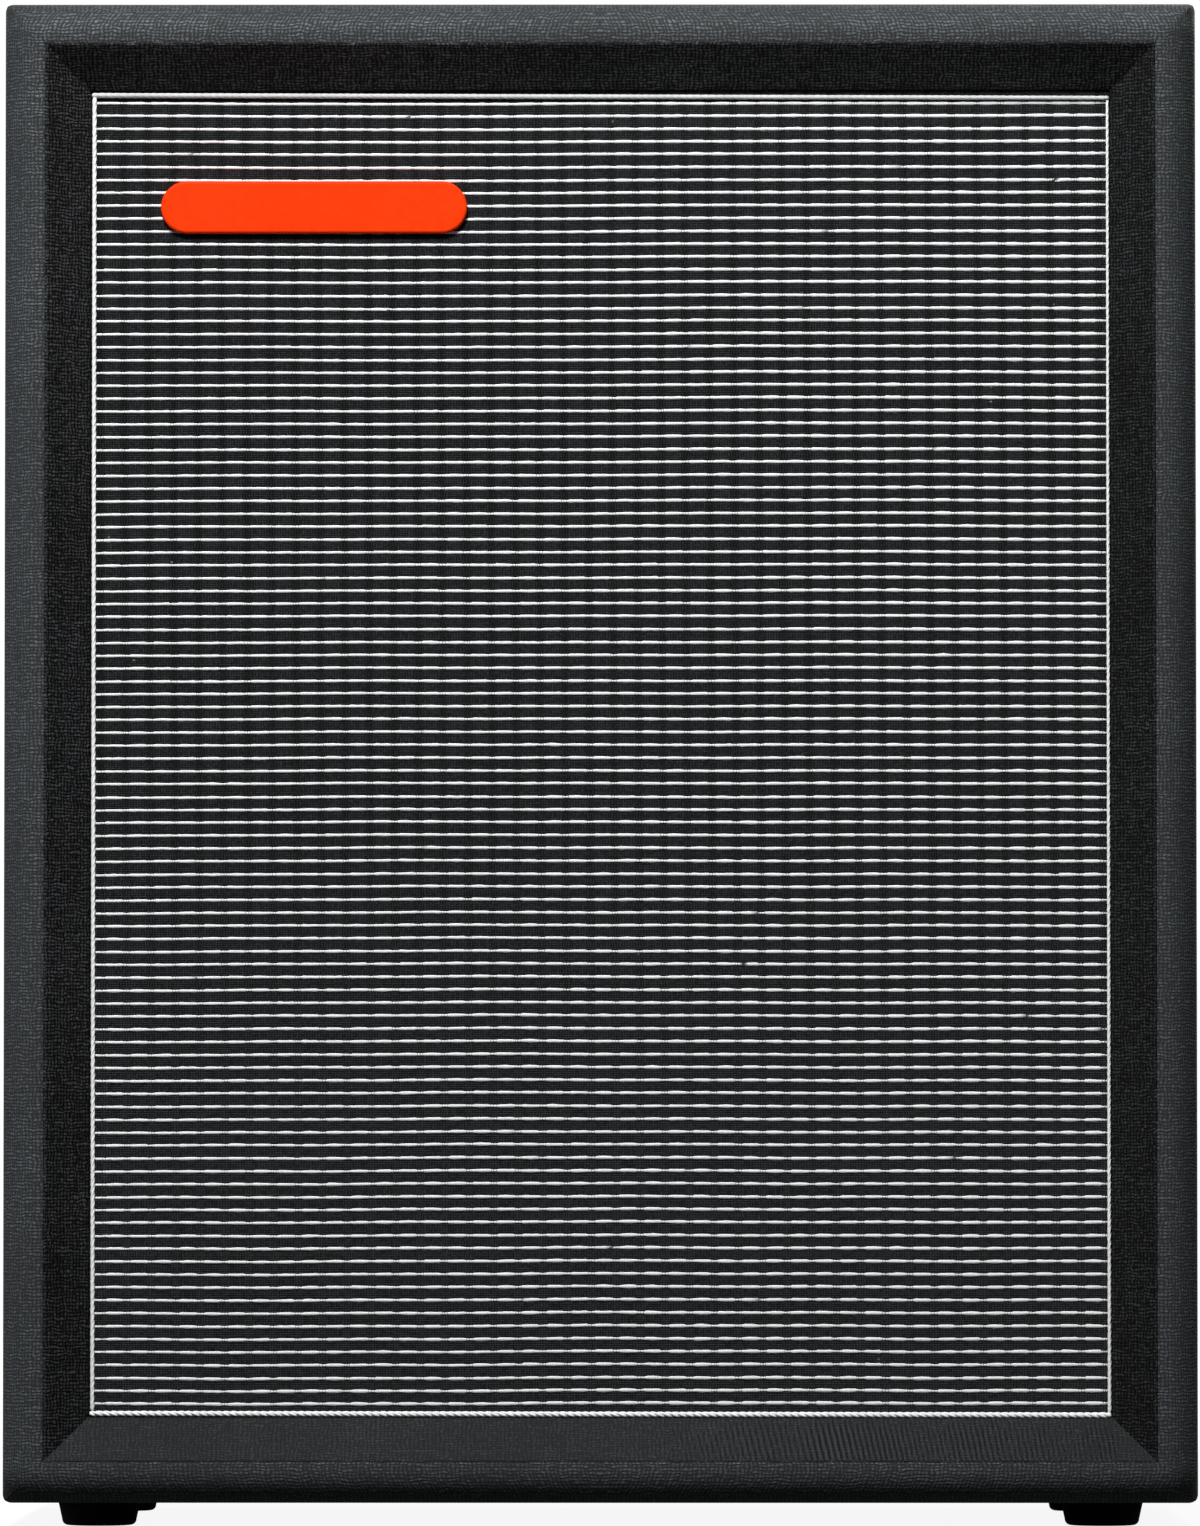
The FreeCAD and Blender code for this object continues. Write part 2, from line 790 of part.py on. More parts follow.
def cone_solid(base):
    """Paper cone with a bowed wall."""
    start, via, end = cone_arc(0)
    back_start, back_via, back_end = cone_arc(cone_paper)
    face = outline(start, (via, end), back_end, (back_via, back_start))
    return turned(face, base, TO_REAR)


def dust_cap_solid(base):
    """Domed cap glued to the cone over the coil."""
    rim = cone_depth_at(dust_cap_radius) - dust_cap_paper - glue_gap
    ball_radius = (dust_cap_radius ** 2 + dust_cap_rise ** 2) / (2 * dust_cap_rise)
    centre = rim - dust_cap_rise + ball_radius
    half_angle = math.asin(dust_cap_radius / ball_radius)

    def on_ball(radius, share):
        """Point of a dome of this radius, at a share of the angle out to the rim."""
        return radius * math.sin(half_angle * share), centre - radius * math.cos(half_angle * share)

    inner_radius = ball_radius - dust_cap_paper
    face = outline(
        on_ball(ball_radius, 0),
        (on_ball(ball_radius, 0.5), on_ball(ball_radius, 1)),
        on_ball(inner_radius, 1),
        (on_ball(inner_radius, 0.5), on_ball(inner_radius, 0)),
    )
    return turned(face, base, TO_REAR)


def voice_coil_solid(base):
    """Paper former with its winding in the magnet gap."""
    inner = former_inner_radius
    outer = inner + former_wall
    coil_start = plate_depth - coil_overhang
    coil_end = coil_start + coil_height
    face = outline(
        (inner, neck_depth),
        (outer, neck_depth),
        (outer, coil_start),
        (coil_outer_radius, coil_start),
        (coil_outer_radius, coil_end),
        (inner, coil_end),
    )
    return turned(face, base, TO_REAR)


def surround_solid(base):
    """Rippled cloth edge from the cone rim to the basket flange."""
    depth = basket_face - surround_cloth
    radii = (cone_radius - surround_rim_gap * 6, cone_radius, mouth_radius, surround_outer_radius)
    face = rippled_ring(radii, depth, surround_cloth, surround_ripple, surround_ripples)
    return turned(face, base, TO_REAR)


def spider_solid(base):
    """Rippled cloth disc from the coil former to the basket ledge."""
    depth = ledge_depth - spider_cloth
    start = neck_radius + spider_glue_width
    outer = ledge_radius - spider_glue_width
    radii = (neck_radius, start, ledge_inner_radius, outer)
    face = rippled_ring(radii, depth, spider_cloth, spider_ripple, spider_ripples)
    return turned(face, base, TO_REAR)


def magnet_solid(base):
    """Ferrite ring with chamfered outer edges."""
    inner = gap_outer_radius + plate_thickness
    bevel = plate_thickness / 4
    face = outline(
        (inner, magnet_depth),
        (magnet_radius - bevel, magnet_depth),
        (magnet_radius, magnet_depth + bevel),
        (magnet_radius, yoke_depth - bevel),
        (magnet_radius - bevel, yoke_depth),
        (inner, yoke_depth),
    )
    return turned(face, base, TO_REAR)


def pole_solid(base):
    """Back plate and vented pole in one turned piece."""
    bevel = plate_thickness / 4
    end = yoke_depth + plate_thickness
    face = outline(
        (pole_vent_radius, plate_depth),
        (pole_radius, plate_depth),
        (pole_radius, yoke_depth),
        (plate_radius + bevel, yoke_depth),
        (plate_radius + bevel, end - bevel),
        (plate_radius, end),
        (pole_vent_radius, end),
    )
    return turned(face, base, TO_REAR)


terminal_base_depth = ledge_depth + basket_sheet
terminal_outer = ledge_radius - spider_glue_width
terminal_tag_depth = terminal_base_depth + terminal_depth / 2


def terminal_solid(base):
    """Terminal board standing on the back of the ledge, with two solder tags."""
    x1 = base.x - terminal_outer + terminal_thickness
    y0 = base.y + terminal_base_depth
    board = block(
        x1 - terminal_thickness, x1, y0, y0 + terminal_depth,
        base.z - terminal_width / 2, base.z + terminal_width / 2,
    )
    tags = []
    for z in (base.z - tinsel_spacing / 2, base.z + tinsel_spacing / 2):
        tags.append(block(
            x1 - 2 * terminal_thickness, x1 - terminal_thickness,
            y0 + terminal_depth / 3, y0 + terminal_depth * 2 / 3,
            z - terminal_thickness / 2, z + terminal_thickness / 2,
        ))
    return board.multiFuse(tags)


def tinsel_solid(base):
    """Two flexible leads from the tags, through a window, to the back of the cone."""
    joint_radius = (cone_radius + neck_radius) / 2 - window_edge_margin
    joint_depth = cone_depth_at(joint_radius) + cone_paper + tinsel_radius + glue_gap
    window_radius = ledge_radius + 2 * window_edge_margin
    leads = []
    for z in (-tinsel_spacing / 2, tinsel_spacing / 2):
        route = (
            (terminal_outer + terminal_thickness + tinsel_radius, terminal_tag_depth),
            (window_radius, ledge_depth),
            (window_radius, (ledge_depth + joint_depth) / 2),
            (joint_radius, joint_depth),
        )
        points = [base + Vector(-radius, depth, z) for radius, depth in route]
        leads.append(bent_bar(points, tinsel_radius))
    return Part.makeCompound(leads)


for name, base in speaker_bases.items():
    export(gasket_solid(base), name + "_gasket")
    export(basket_solid(base), name + "_basket")
    export(cone_solid(base), name + "_cone")
    export(surround_solid(base), name + "_surround")
    export(dust_cap_solid(base), name + "_dust_cap")
    export(voice_coil_solid(base), name + "_voice_coil")
    export(spider_solid(base), name + "_spider")
    front_plate = ring(gap_outer_radius, plate_radius, plate_depth, plate_thickness, base, TO_REAR)
    export(front_plate, name + "_front_plate")
    export(magnet_solid(base), name + "_magnet")
    export(pole_solid(base), name + "_pole_piece")
    export(terminal_solid(base), name + "_terminal_strip")
    export(tinsel_solid(base), name + "_tinsel_leads")
export(group(domed_screw(speaker_screw_length), speaker_screw_bases, TO_FRONT), "speaker_screws")

# Back panel on its battens

batten_x = cavity_half_width - batten_width
batten_z0 = cavity_bottom + batten_width
batten_z1 = cavity_top - batten_width
back_screw_x = cavity_half_width - batten_width / 2
back_screw_z0 = cavity_bottom + batten_width / 2
back_screw_z1 = cavity_top - batten_width / 2
back_screw_bases = [
    Vector(x, back_face, z)
    for x in (-back_screw_x, back_screw_x)
    for z in spread(back_screw_z0, back_screw_z1, back_screw_rows)
]
back_screw_bases += [
    Vector(x, back_face, z)
    for x in spread(-back_screw_x, back_screw_x, back_screw_columns + 2)[1:-1]
    for z in (back_screw_z0, back_screw_z1)
]
back_screw_length = covering_thickness + back_thickness + screw_bite
back_screw_holes = screw_holes(back_screw_bases, TO_FRONT, back_screw_length)

battens = [
    block(-cavity_half_width, cavity_half_width, batten_front, back_panel_front, cavity_bottom, batten_z0),
    block(-cavity_half_width, cavity_half_width, batten_front, back_panel_front, batten_z1, cavity_top),
    block(-cavity_half_width, -batten_x, batten_front, back_panel_front, batten_z0, batten_z1),
    block(batten_x, cavity_half_width, batten_front, back_panel_front, batten_z0, batten_z1),
]
export(Part.makeCompound([batten.cut(back_screw_holes) for batten in battens]), "rear_battens")

dish_z = case_bottom + dish_height_above_case
dish_floor = back_face + dish_sheet - dish_depth
dish_outer_half_width = dish_half_width + dish_sheet
dish_outer_half_height = dish_half_height + dish_sheet
dish_flange_half_width = dish_outer_half_width + dish_flange_width
dish_flange_half_height = dish_outer_half_height + dish_flange_width
dish_screw_x = dish_flange_half_width - dish_flange_width / 2
dish_screw_z = dish_flange_half_height - dish_flange_width / 2
dish_screw_bases = [
    Vector(x, back_face + dish_sheet, dish_z + z)
    for x in (-dish_screw_x, dish_screw_x)
    for z in (-dish_screw_z, dish_screw_z)
]
dish_screw_length = dish_sheet + covering_thickness + back_thickness - screw_point
dish_screw_holes = screw_holes(dish_screw_bases, TO_FRONT, dish_screw_length)


def dish_prism(half_width_here, half_height_here, y0, y1, corner):
    """Rounded prism centred on the jack dish."""
    return rounded_block(
        -half_width_here, half_width_here, y0, y1, dish_z - half_height_here, dish_z + half_height_here,
        Vector(0, 1, 0), corner,
    )


dish_cut = dish_prism(
    dish_outer_half_width + dish_clearance, dish_outer_half_height + dish_clearance,
    batten_front, rear, dish_corner + dish_sheet,
)
back_half_width = cavity_half_width - back_clearance
back_bottom = cavity_bottom + back_clearance
back_top = cavity_top - back_clearance


def back_sheet(y0, y1, margin):
    """Board-shaped sheet of the back with its dish and screw holes cut."""
    x = back_half_width - margin
    sheet = block(-x, x, y0, y1, back_bottom + margin, back_top - margin)
    return sheet.cut(dish_cut).cut(back_screw_holes).cut(dish_screw_holes)


export(back_sheet(back_panel_front, back_panel_rear, 0), "back_panel")
export(back_sheet(back_panel_rear, back_face, covering_thickness), "back_covering")

washer_bore = screw_radius + 2 * screw_clearance
washer_lip = washer_bore + cup_washer_height - screw_clearance
cup_face = outline(
    (washer_bore, 0),
    (washer_bore, -screw_clearance),
    (washer_lip, -cup_washer_height),
    (washer_lip + 1, -cup_washer_height),
    (cup_washer_radius, 0),
)
cup_washer = turned(cup_face, Vector(0, 0, 0), UP)
export(group(cup_washer, back_screw_bases, TO_FRONT), "cup_washers")
oval_top = -cup_washer_height - screw_slot
oval_radius = washer_lip - screw_clearance
oval_face = outline(
    (0, oval_top),
    ((oval_radius / 2, oval_top + screw_slot * 0.2), (oval_radius, -cup_washer_height)),
    (screw_radius, -2 * screw_clearance),
    (screw_radius, back_screw_length - screw_point),
    (0, back_screw_length),
)
oval_screw = turned(oval_face, Vector(0, 0, 0), UP).cut(screw_slot_cutter(oval_top))
export(group(oval_screw, back_screw_bases, TO_FRONT), "back_screws")

# Jack dish, sockets and contacts

socket_places = {"input": -socket_spacing / 2, "link": socket_spacing / 2}
dish_outside = back_face + dish_sheet
dish_inside = dish_floor - dish_sheet
dish = dish_prism(dish_flange_half_width, dish_flange_half_height, back_face, dish_outside, dish_corner)
dish_shell = dish_prism(
    dish_outer_half_width, dish_outer_half_height, dish_inside, back_face, dish_corner + dish_sheet,
)
dish_hollow = dish_prism(dish_half_width, dish_half_height, dish_floor, rear, dish_corner)
dish = dish.fuse(dish_shell).cut(dish_hollow).cut(dish_screw_holes)
socket_bases = {name: Vector(x, dish_inside, dish_z) for name, x in socket_places.items()}
dish = dish.cut(holes(socket_bases.values(), TO_REAR, socket_bush_radius + screw_clearance, dish_depth))
export(dish, "jack_dish")
export(group(domed_screw(dish_screw_length), dish_screw_bases, TO_FRONT), "jack_dish_screws")

strap_rise = socket_plate_radius - socket_strap_sheet
insulator_top = -socket_bush_radius


def socket_solid(base):
    """Open-frame jack socket: threaded bush, plate, sleeve strap and insulator block."""
    plate_front = base.y - socket_plate
    bush_length = socket_plate + dish_sheet + socket_bush_length
    body = pin(Vector(base.x, plate_front, base.z), TO_REAR, socket_bush_radius, bush_length)
    half_strap = socket_strap_width / 2
    strap_back = plate_front - socket_strap_length
    pieces = [
        pin(Vector(base.x, plate_front, base.z), TO_REAR, socket_plate_radius, socket_plate),
        block(base.x - half_strap, base.x + half_strap, strap_back, base.y,
              base.z + strap_rise - socket_strap_sheet, base.z + strap_rise),
        block(base.x - half_strap, base.x + half_strap, plate_front - insulator_length, plate_front,
              base.z + insulator_top - insulator_height, base.z + insulator_top),
    ]
    body = body.multiFuse(pieces)
    return body.cut(pin(Vector(base.x, strap_back, base.z), TO_REAR, socket_bore_radius, 2 * cabinet_depth))


def contact_solid(base):
    """Sprung tip contact: a leaf on the insulator, cranked in to the plug's tip."""
    y0 = base.y - socket_plate - screw_clearance
    low = base.z + insulator_top - insulator_height - screw_clearance
    apex = base.z - socket_bore_radius + contact_intrusion
    crank = contact_length * 0.6
    tip = contact_length * 0.8
    line = ((0, low), (crank, low), (tip, apex), (contact_length, (low + apex) / 2))
    upper = [Vector(base.x - contact_width / 2, y0 - reach, z) for reach, z in line]
    lower = [point - Vector(0, 0, contact_sheet) for point in reversed(upper)]
    face = Part.Face(Part.makePolygon(upper + lower + upper[:1]))
    return face.extrude(Vector(contact_width, 0, 0))


nut_radius = socket_nut_flats / 2 / math.cos(math.pi / 6)
nut_angles = [math.pi * i / 3 for i in range(7)]
nut_corners = [Vector(nut_radius * math.cos(a), nut_radius * math.sin(a), 0) for a in nut_angles]
nut = Part.Face(Part.makePolygon(nut_corners)).extrude(Vector(0, 0, socket_nut_height))
nut = nut.cut(pin(Vector(0, 0, 0), UP, socket_bush_radius + screw_clearance, socket_nut_height))
nut_bases = [base + Vector(0, dish_sheet, 0) for base in socket_bases.values()]
export(group(nut, nut_bases, TO_REAR), "jack_nuts")
for name, base in socket_bases.items():
    export(socket_solid(base), name + "_jack")
    export(contact_solid(base), name + "_tip_contact")

# Wiring from the input socket to the upper speaker and on to the lower one

board_x = speaker_x - terminal_outer + terminal_thickness / 2
board_rear = baffle_back + terminal_base_depth + terminal_depth
cable_x = board_x - cable_slack
cable_turn_y = board_rear + cable_lead_in
upper_z = speaker_heights["upper"]
lower_z = speaker_heights["lower"]
tag_offset = tinsel_spacing / 2
strap_end = socket_bases["input"] + Vector(0, -socket_plate - socket_strap_length, strap_rise - cable_radius)
cable_y = strap_end.y - cable_slack
input_run = [
    strap_end,
    Vector(strap_end.x, cable_y, strap_end.z),
    Vector(cable_x, cable_y, strap_end.z + 2 * cable_slack),
    Vector(cable_x, cable_y, upper_z - 2 * cable_slack),
    Vector(cable_x, cable_turn_y, upper_z + tag_offset),
    Vector(board_x, cable_turn_y, upper_z + tag_offset),
    Vector(board_x, board_rear, upper_z + tag_offset),
]
link_run = [
    Vector(board_x, board_rear, upper_z - tag_offset),
    Vector(board_x, cable_turn_y, upper_z - tag_offset),
    Vector(cable_x, cable_turn_y, upper_z - tag_offset - cable_slack / 4),
    Vector(cable_x, cable_turn_y, lower_z + tag_offset + cable_slack / 4),
    Vector(board_x, cable_turn_y, lower_z + tag_offset),
    Vector(board_x, board_rear, lower_z + tag_offset),
]
export(Part.makeCompound([bent_bar(run, cable_radius) for run in (input_run, link_run)]), "speaker_wiring")

# Recessed side handles

hinge_x = half_width - grip_recess - grip_radius
hinge_z = handle_z + grip_hinge_rise
grip_arm_y = handle_half_length - grip_end_gap - grip_radius
pivot_end_y = handle_half_length + handle_sheet + pivot_overrun


def handle_prism(x0, x1, half_length, half_height, corner):
    """Rounded prism centred on the right handle."""
    z0 = handle_z - half_height
    z1 = handle_z + half_height
    return rounded_block(x0, x1, -half_length, half_length, z0, z1, Vector(1, 0, 0), corner)


def round_floor(shape, x, radius):
    """Round the edge where a pressed dish meets its floor."""
    rim = [edge for edge in shape.Edges if max(abs(v.Point.x - x) for v in edge.Vertexes) < 1e-6]
    return shape.makeFillet(radius, rim)


def handle_dish_solid():
    """Pressed steel dish for the right side, with pivot holes in its end walls."""
    floor_x = half_width - handle_depth
    flange = handle_prism(
        half_width, half_width + handle_sheet,
        handle_half_length + handle_sheet + handle_flange_width,
        handle_half_height + handle_sheet + handle_flange_width, handle_corner,
    )
    shell = handle_prism(
        floor_x - handle_sheet, half_width,
        handle_half_length + handle_sheet, handle_half_height + handle_sheet, handle_corner + handle_sheet,
    )
    shell = round_floor(shell, floor_x - handle_sheet, handle_floor_radius + handle_sheet)
    hollow = handle_prism(floor_x, 2 * half_width, handle_half_length, handle_half_height, handle_corner)
    hollow = round_floor(hollow, floor_x, handle_floor_radius)
    pivot_base = Vector(hinge_x, -cabinet_depth, hinge_z)
    pivot = pin(pivot_base, TO_REAR, grip_radius + pivot_clearance, 2 * cabinet_depth)
    dish_body = flange.fuse(shell).cut(hollow).cut(pivot)
    dish_body = dish_body.cut(handle_screw_holes(1))
    return dish_body.cut(countersinks(handle_screw_bases(1), Vector(-1, 0, 0)))


def handle_grip_solid():
    """Round bar bent to hang between its own turned-out ends, which are the pivots."""
    low = hinge_z - grip_drop
    corners = (
        (-pivot_end_y, hinge_z), (-grip_arm_y, hinge_z), (-grip_arm_y, low),
        (grip_arm_y, low), (grip_arm_y, hinge_z), (pivot_end_y, hinge_z),
    )
    return bent_bar([Vector(hinge_x, y, z) for y, z in corners], grip_radius, grip_bend)


handle_pieces = {"handle_dish": handle_dish_solid(), "handle_grip": handle_grip_solid()}
for piece, shape in handle_pieces.items():
    export(shape, "right_" + piece)
    export(shape.mirror(Vector(0, 0, 0), Vector(1, 0, 0)), "left_" + piece)
handle_screw = countersunk_screw(handle_screw_length)
handle_screws = []
for side in (-1, 1):
    for base in handle_screw_bases(side):
        handle_screws.append(placed(handle_screw, base, Vector(-side, 0, 0)))
export(Part.makeCompound(handle_screws), "handle_screws")

# Feet

foot_base_radius = foot_radius - foot_taper
foot_arc_inset = foot_edge_radius * (1 - math.sqrt(0.5))
foot_face = outline(
    (screw_hole_radius, foot_recess_depth),
    (foot_recess_radius, foot_recess_depth),
    (foot_recess_radius, 0),
    (foot_base_radius - foot_edge_radius, 0),
    ((foot_base_radius - foot_arc_inset, foot_arc_inset), (foot_base_radius, foot_edge_radius)),
    (foot_radius, foot_height),
    (screw_hole_radius, foot_height),
)
foot = turned(foot_face, Vector(0, 0, 0), UP)
export(group(foot, [Vector(x, y, 0) for x, y in foot_places], UP), "rubber_feet")
export(group(domed_screw(foot_screw_length), foot_screw_bases, UP), "foot_screws")
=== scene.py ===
import json
import math

import bpy
import numpy as np
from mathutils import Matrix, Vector


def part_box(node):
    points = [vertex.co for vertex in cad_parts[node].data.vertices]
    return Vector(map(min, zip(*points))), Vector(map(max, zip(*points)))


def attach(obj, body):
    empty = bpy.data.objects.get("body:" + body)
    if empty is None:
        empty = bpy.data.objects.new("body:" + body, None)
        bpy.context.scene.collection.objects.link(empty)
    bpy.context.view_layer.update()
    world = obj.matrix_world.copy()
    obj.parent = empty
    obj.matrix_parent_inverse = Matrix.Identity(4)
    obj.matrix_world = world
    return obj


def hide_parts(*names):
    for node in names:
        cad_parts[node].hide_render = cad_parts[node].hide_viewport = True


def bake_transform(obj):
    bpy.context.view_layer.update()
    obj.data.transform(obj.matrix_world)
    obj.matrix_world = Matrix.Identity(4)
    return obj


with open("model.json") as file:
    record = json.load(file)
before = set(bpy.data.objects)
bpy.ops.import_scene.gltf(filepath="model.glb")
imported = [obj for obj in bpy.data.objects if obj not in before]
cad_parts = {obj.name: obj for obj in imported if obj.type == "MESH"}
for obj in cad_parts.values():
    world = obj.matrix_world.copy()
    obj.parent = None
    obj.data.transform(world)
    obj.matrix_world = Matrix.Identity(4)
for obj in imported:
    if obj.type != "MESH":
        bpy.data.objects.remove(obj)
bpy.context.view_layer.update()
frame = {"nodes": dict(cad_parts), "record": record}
nodes = frame["nodes"]
record = frame["record"]

# A tall guitar speaker cabinet in black woven-grain vinyl, with a bevelled frame round a
# black grille cloth with thin white lines. Metres, front towards -Y, +Z up.

MM = 0.001
FULL_TURN = 2 * math.pi
KEPT_MAP = "OFBake"
FURROW = "furrow"

# Places read from the frame
case_low, case_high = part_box("vinyl_covering")
mouth_low, mouth_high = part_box("bevel_covering")
cloth_low, cloth_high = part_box("grille_cloth")
piping_low, piping_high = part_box("grille_piping")
bevel_inner_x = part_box("bevel_right")[0].x
case_centre = (case_low + case_high) / 2
case_half_width = case_high.x
case_half_height = (case_high.z - case_low.z) / 2
cloth_front = cloth_low.y
piping_radius = (piping_high.y - piping_low.y) / 2
piping_y = (piping_low.y + piping_high.y) / 2
piping_x = piping_high.x - piping_radius
piping_bottom = piping_low.z + piping_radius
piping_top = piping_high.z - piping_radius

# Grille cloth: white weft lines that float over six black warp ends and dip under three
line_count = 102
first_line_drop = 4.6 * MM
last_line_rise = 4.8 * MM
repeat_width = 12.1 * MM
repeat_shift = -5.7 * MM
warp_ends = 9
dipped_ends = 3
line_half_width = 0.84 * MM
line_rise = 0.75 * MM
line_sink = 0.12 * MM
binder_half_width = 0.12 * MM
binder_rise = 0.62 * MM
binder_rest = 0.16 * MM
cloth_wave = 0.4 * MM
weave_pitch = repeat_width / warp_ends
weft_pitch = 0.8 * weave_pitch
yarn_twist = 0.9 * MM
cloth_columns = 112
cloth_rows = 142
cloth_ripple = 0.06 * MM
cloth_clearance = 0.1 * MM

# The warp leans a little between two heights, and stands in its place at a third
warp_lean = 0.0055
upright_height = 0.47
lean_from = 0.2
lean_to = 0.7

# How unevenly the yarns lie
float_scatter = 0.22 * MM
fullness_scatter = 0.07
kink_scatter = 0.04 * MM
row_scatter = 0.1 * MM
binder_scatter = 0.08 * MM
binder_rise_scatter = 0.08

# Piping: three strands laid into one cord, thinner at the top and right, with some ends lower
strand_count = 3
lay_length = 11.1 * MM
strand_step = lay_length / 10
strand_sides = 7
strand_swell = 1.08
end_taper = 0.4
thin_top = 0.84 * piping_radius
thin_right = 0.57 * piping_radius
side_gap = 1.1 * piping_radius
top_left_drop = 0.9 * MM
top_right_drop = 2.4 * MM
bottom_right_drop = 0.8 * MM
right_length_drop = 0.9 * MM

# Rounded front edge of the case, and the bevelled frame inside it
front_edge_radius = 17.0 * MM
bevel_width = mouth_high.x - bevel_inner_x
bevel_lip = 1.5 * MM
bevel_skin = 0.7 * MM
bevel_step = 0.55 * MM
bevel_rows = 18
bevel_ripple = 0.12 * MM
rim_tuck = 1.0 * MM
rim_tuck_depth = 0.4 * MM
pull_spacing = 3.6 * MM
pull_depth = 0.6 * MM
pull_slant = 6.0 * MM
pull_from = 0.5
pull_to = 0.99
crest_share = 0.4

# Flexible parts of the loudspeakers: widths glued to the cone and to the basket
glue_widths = {"surround": (3.0 * MM, 6.0 * MM), "spider": (3.0 * MM, 9.0 * MM)}

# Vinyl: pitch of its threads, and how far a face is turned to count as level or sloped
vinyl_pitch = 1.85 * MM
vinyl_warp_pitch = 1.15 * vinyl_pitch
vinyl_weft_pitch = 0.95 * vinyl_pitch
level_face = 0.75
sloped_face = 0.4

# Voice coil's turns
coil_pitch = 0.4 * MM

# Depths of relief
vinyl_relief = 0.3 * MM
cloth_relief = 0.5 * MM
yarn_relief = 0.15 * MM
cord_relief = 0.1 * MM
wood_relief = 0.1 * MM
coil_relief = 0.1 * MM

# Camera and studio
camera_distance = 5.0
camera_height = 0.19
camera_side = 0.026
view_middle_z = 0.3768
view_height = 0.7521
sensor_long_side = 36.0
floor_size = 30.0
floor_colour = (0.15, 0.15, 0.15)
floor_bounce = (0.05, 0.05, 0.05)
floor_glow = 0.91
glow_near = 0.5
glow_far = 2.5
glossy_share = 0.06
ambient = 0.03
mirrored_white = 0.5
dim_side = -0.3
bright_side = 0.6

# Soft lights: place, width, height and power
lights = {
    "high_front": ((-0.45, -2.0, 2.4), 0.6, 0.7, 96.0),
    "high_left": ((-0.6, -2.0, 2.4), 0.7, 0.7, 12.0),
    "left_edge": ((-2.4, -0.02, 0.7), 0.25, 1.6, 9.0),
    "top_edge": ((0.6, -0.02, 1.8), 0.6, 0.25, 4.2),
    "behind": ((1.2, 3.6, 2.2), 2.4, 2.0, 60.0),
}


class Tree:
    """Adds and joins the nodes of one material or group."""

    def __init__(self, tree):
        self.tree = tree

    def feed(self, socket, value):
        """Joins a socket to another, or sets its value."""
        if isinstance(value, bpy.types.NodeSocket):
            self.tree.links.new(value, socket)
        else:
            socket.default_value = value

    def add(self, kind, inputs=(), **settings):
        """New node with its settings and its named or numbered inputs."""
        node = self.tree.nodes.new(kind)
        for name, value in settings.items():
            setattr(node, name, value)
        for name, value in dict(inputs).items():
            self.feed(node.inputs[name], value)
        return node

    def math(self, operation, *values):
        """Output of a Math node."""
        node = self.add("ShaderNodeMath", enumerate(values), operation=operation)
        return node.outputs[0]

    def vector(self, operation, *values):
        """Vector output of a Vector Math node."""
        node = self.add("ShaderNodeVectorMath", enumerate(values), operation=operation)
        return node.outputs["Vector"]

    def scaled(self, vector, factor):
        """Vector times a value."""
        node = self.add("ShaderNodeVectorMath", {0: vector, "Scale": factor}, operation="SCALE")
        return node.outputs["Vector"]

    def split(self, vector):
        """X, Y and Z of a vector."""
        return self.add("ShaderNodeSeparateXYZ", {0: vector}).outputs

    def join(self, x, y, z):
        """Vector from three values."""
        return self.add("ShaderNodeCombineXYZ", {0: x, 1: y, 2: z}).outputs[0]

    def noise(self, vector, scale, detail=2.0, roughness=0.5):
        """Noise node; its values lie around 0.5."""
        inputs = {"Vector": vector, "Scale": scale, "Detail": detail, "Roughness": roughness}
        return self.add("ShaderNodeTexNoise", inputs)

    def scatter(self, vector):
        """One random value for each whole-number place."""
        return self.add("ShaderNodeTexWhiteNoise", {"Vector": vector}).outputs["Value"]

    def span(self, value, low, high, out_low=0.0, out_high=1.0):
        """Value moved from one range to another, and held there."""
        inputs = {"Value": value, 1: low, 2: high, 3: out_low, 4: out_high}
        return self.add("ShaderNodeMapRange", inputs).outputs[0]

    def blend(self, share, low, high):
        """Colour between two colours."""
        node = self.add("ShaderNodeMix", data_type="RGBA")
        self.feed(node.inputs["Factor"], share)
        self.feed(node.inputs["A"], opaque(low))
        self.feed(node.inputs["B"], opaque(high))
        return node.outputs["Result"]

    def group(self, group, **inputs):
        """A shared effect placed in this tree; underscores stand for spaces in its socket names."""
        node = self.add("ShaderNodeGroup", node_tree=group)
        for name, value in inputs.items():
            self.feed(node.inputs[name.replace("_", " ")], value)
        return node.outputs

    def bump(self, height, depth, normal=None):
        """Normal of a relief that is so many metres deep, on the face or on another normal."""
        node = self.add("ShaderNodeBump", {"Height": height, "Distance": depth})
        if normal is not None:
            self.feed(node.inputs["Normal"], normal)
        return node.outputs[0]


def opaque(colour):
    """Colour with a full alpha; sockets pass through."""
    if isinstance(colour, bpy.types.NodeSocket):
        return colour
    return (*colour, 1.0)


def effect(name, inputs, outputs):
    """New shader node group; returns its group, tree, input sockets and output node."""
    group = bpy.data.node_groups.new(name, "ShaderNodeTree")
    for label, kind in inputs.items():
        group.interface.new_socket(label, in_out="INPUT", socket_type="NodeSocket" + kind)
    for label in outputs:
        group.interface.new_socket(label, in_out="OUTPUT", socket_type="NodeSocketFloat")
    tree = Tree(group)
    entry = tree.add("NodeGroupInput")
    leave = tree.add("NodeGroupOutput")
    return group, tree, entry.outputs, leave


# Shared effects

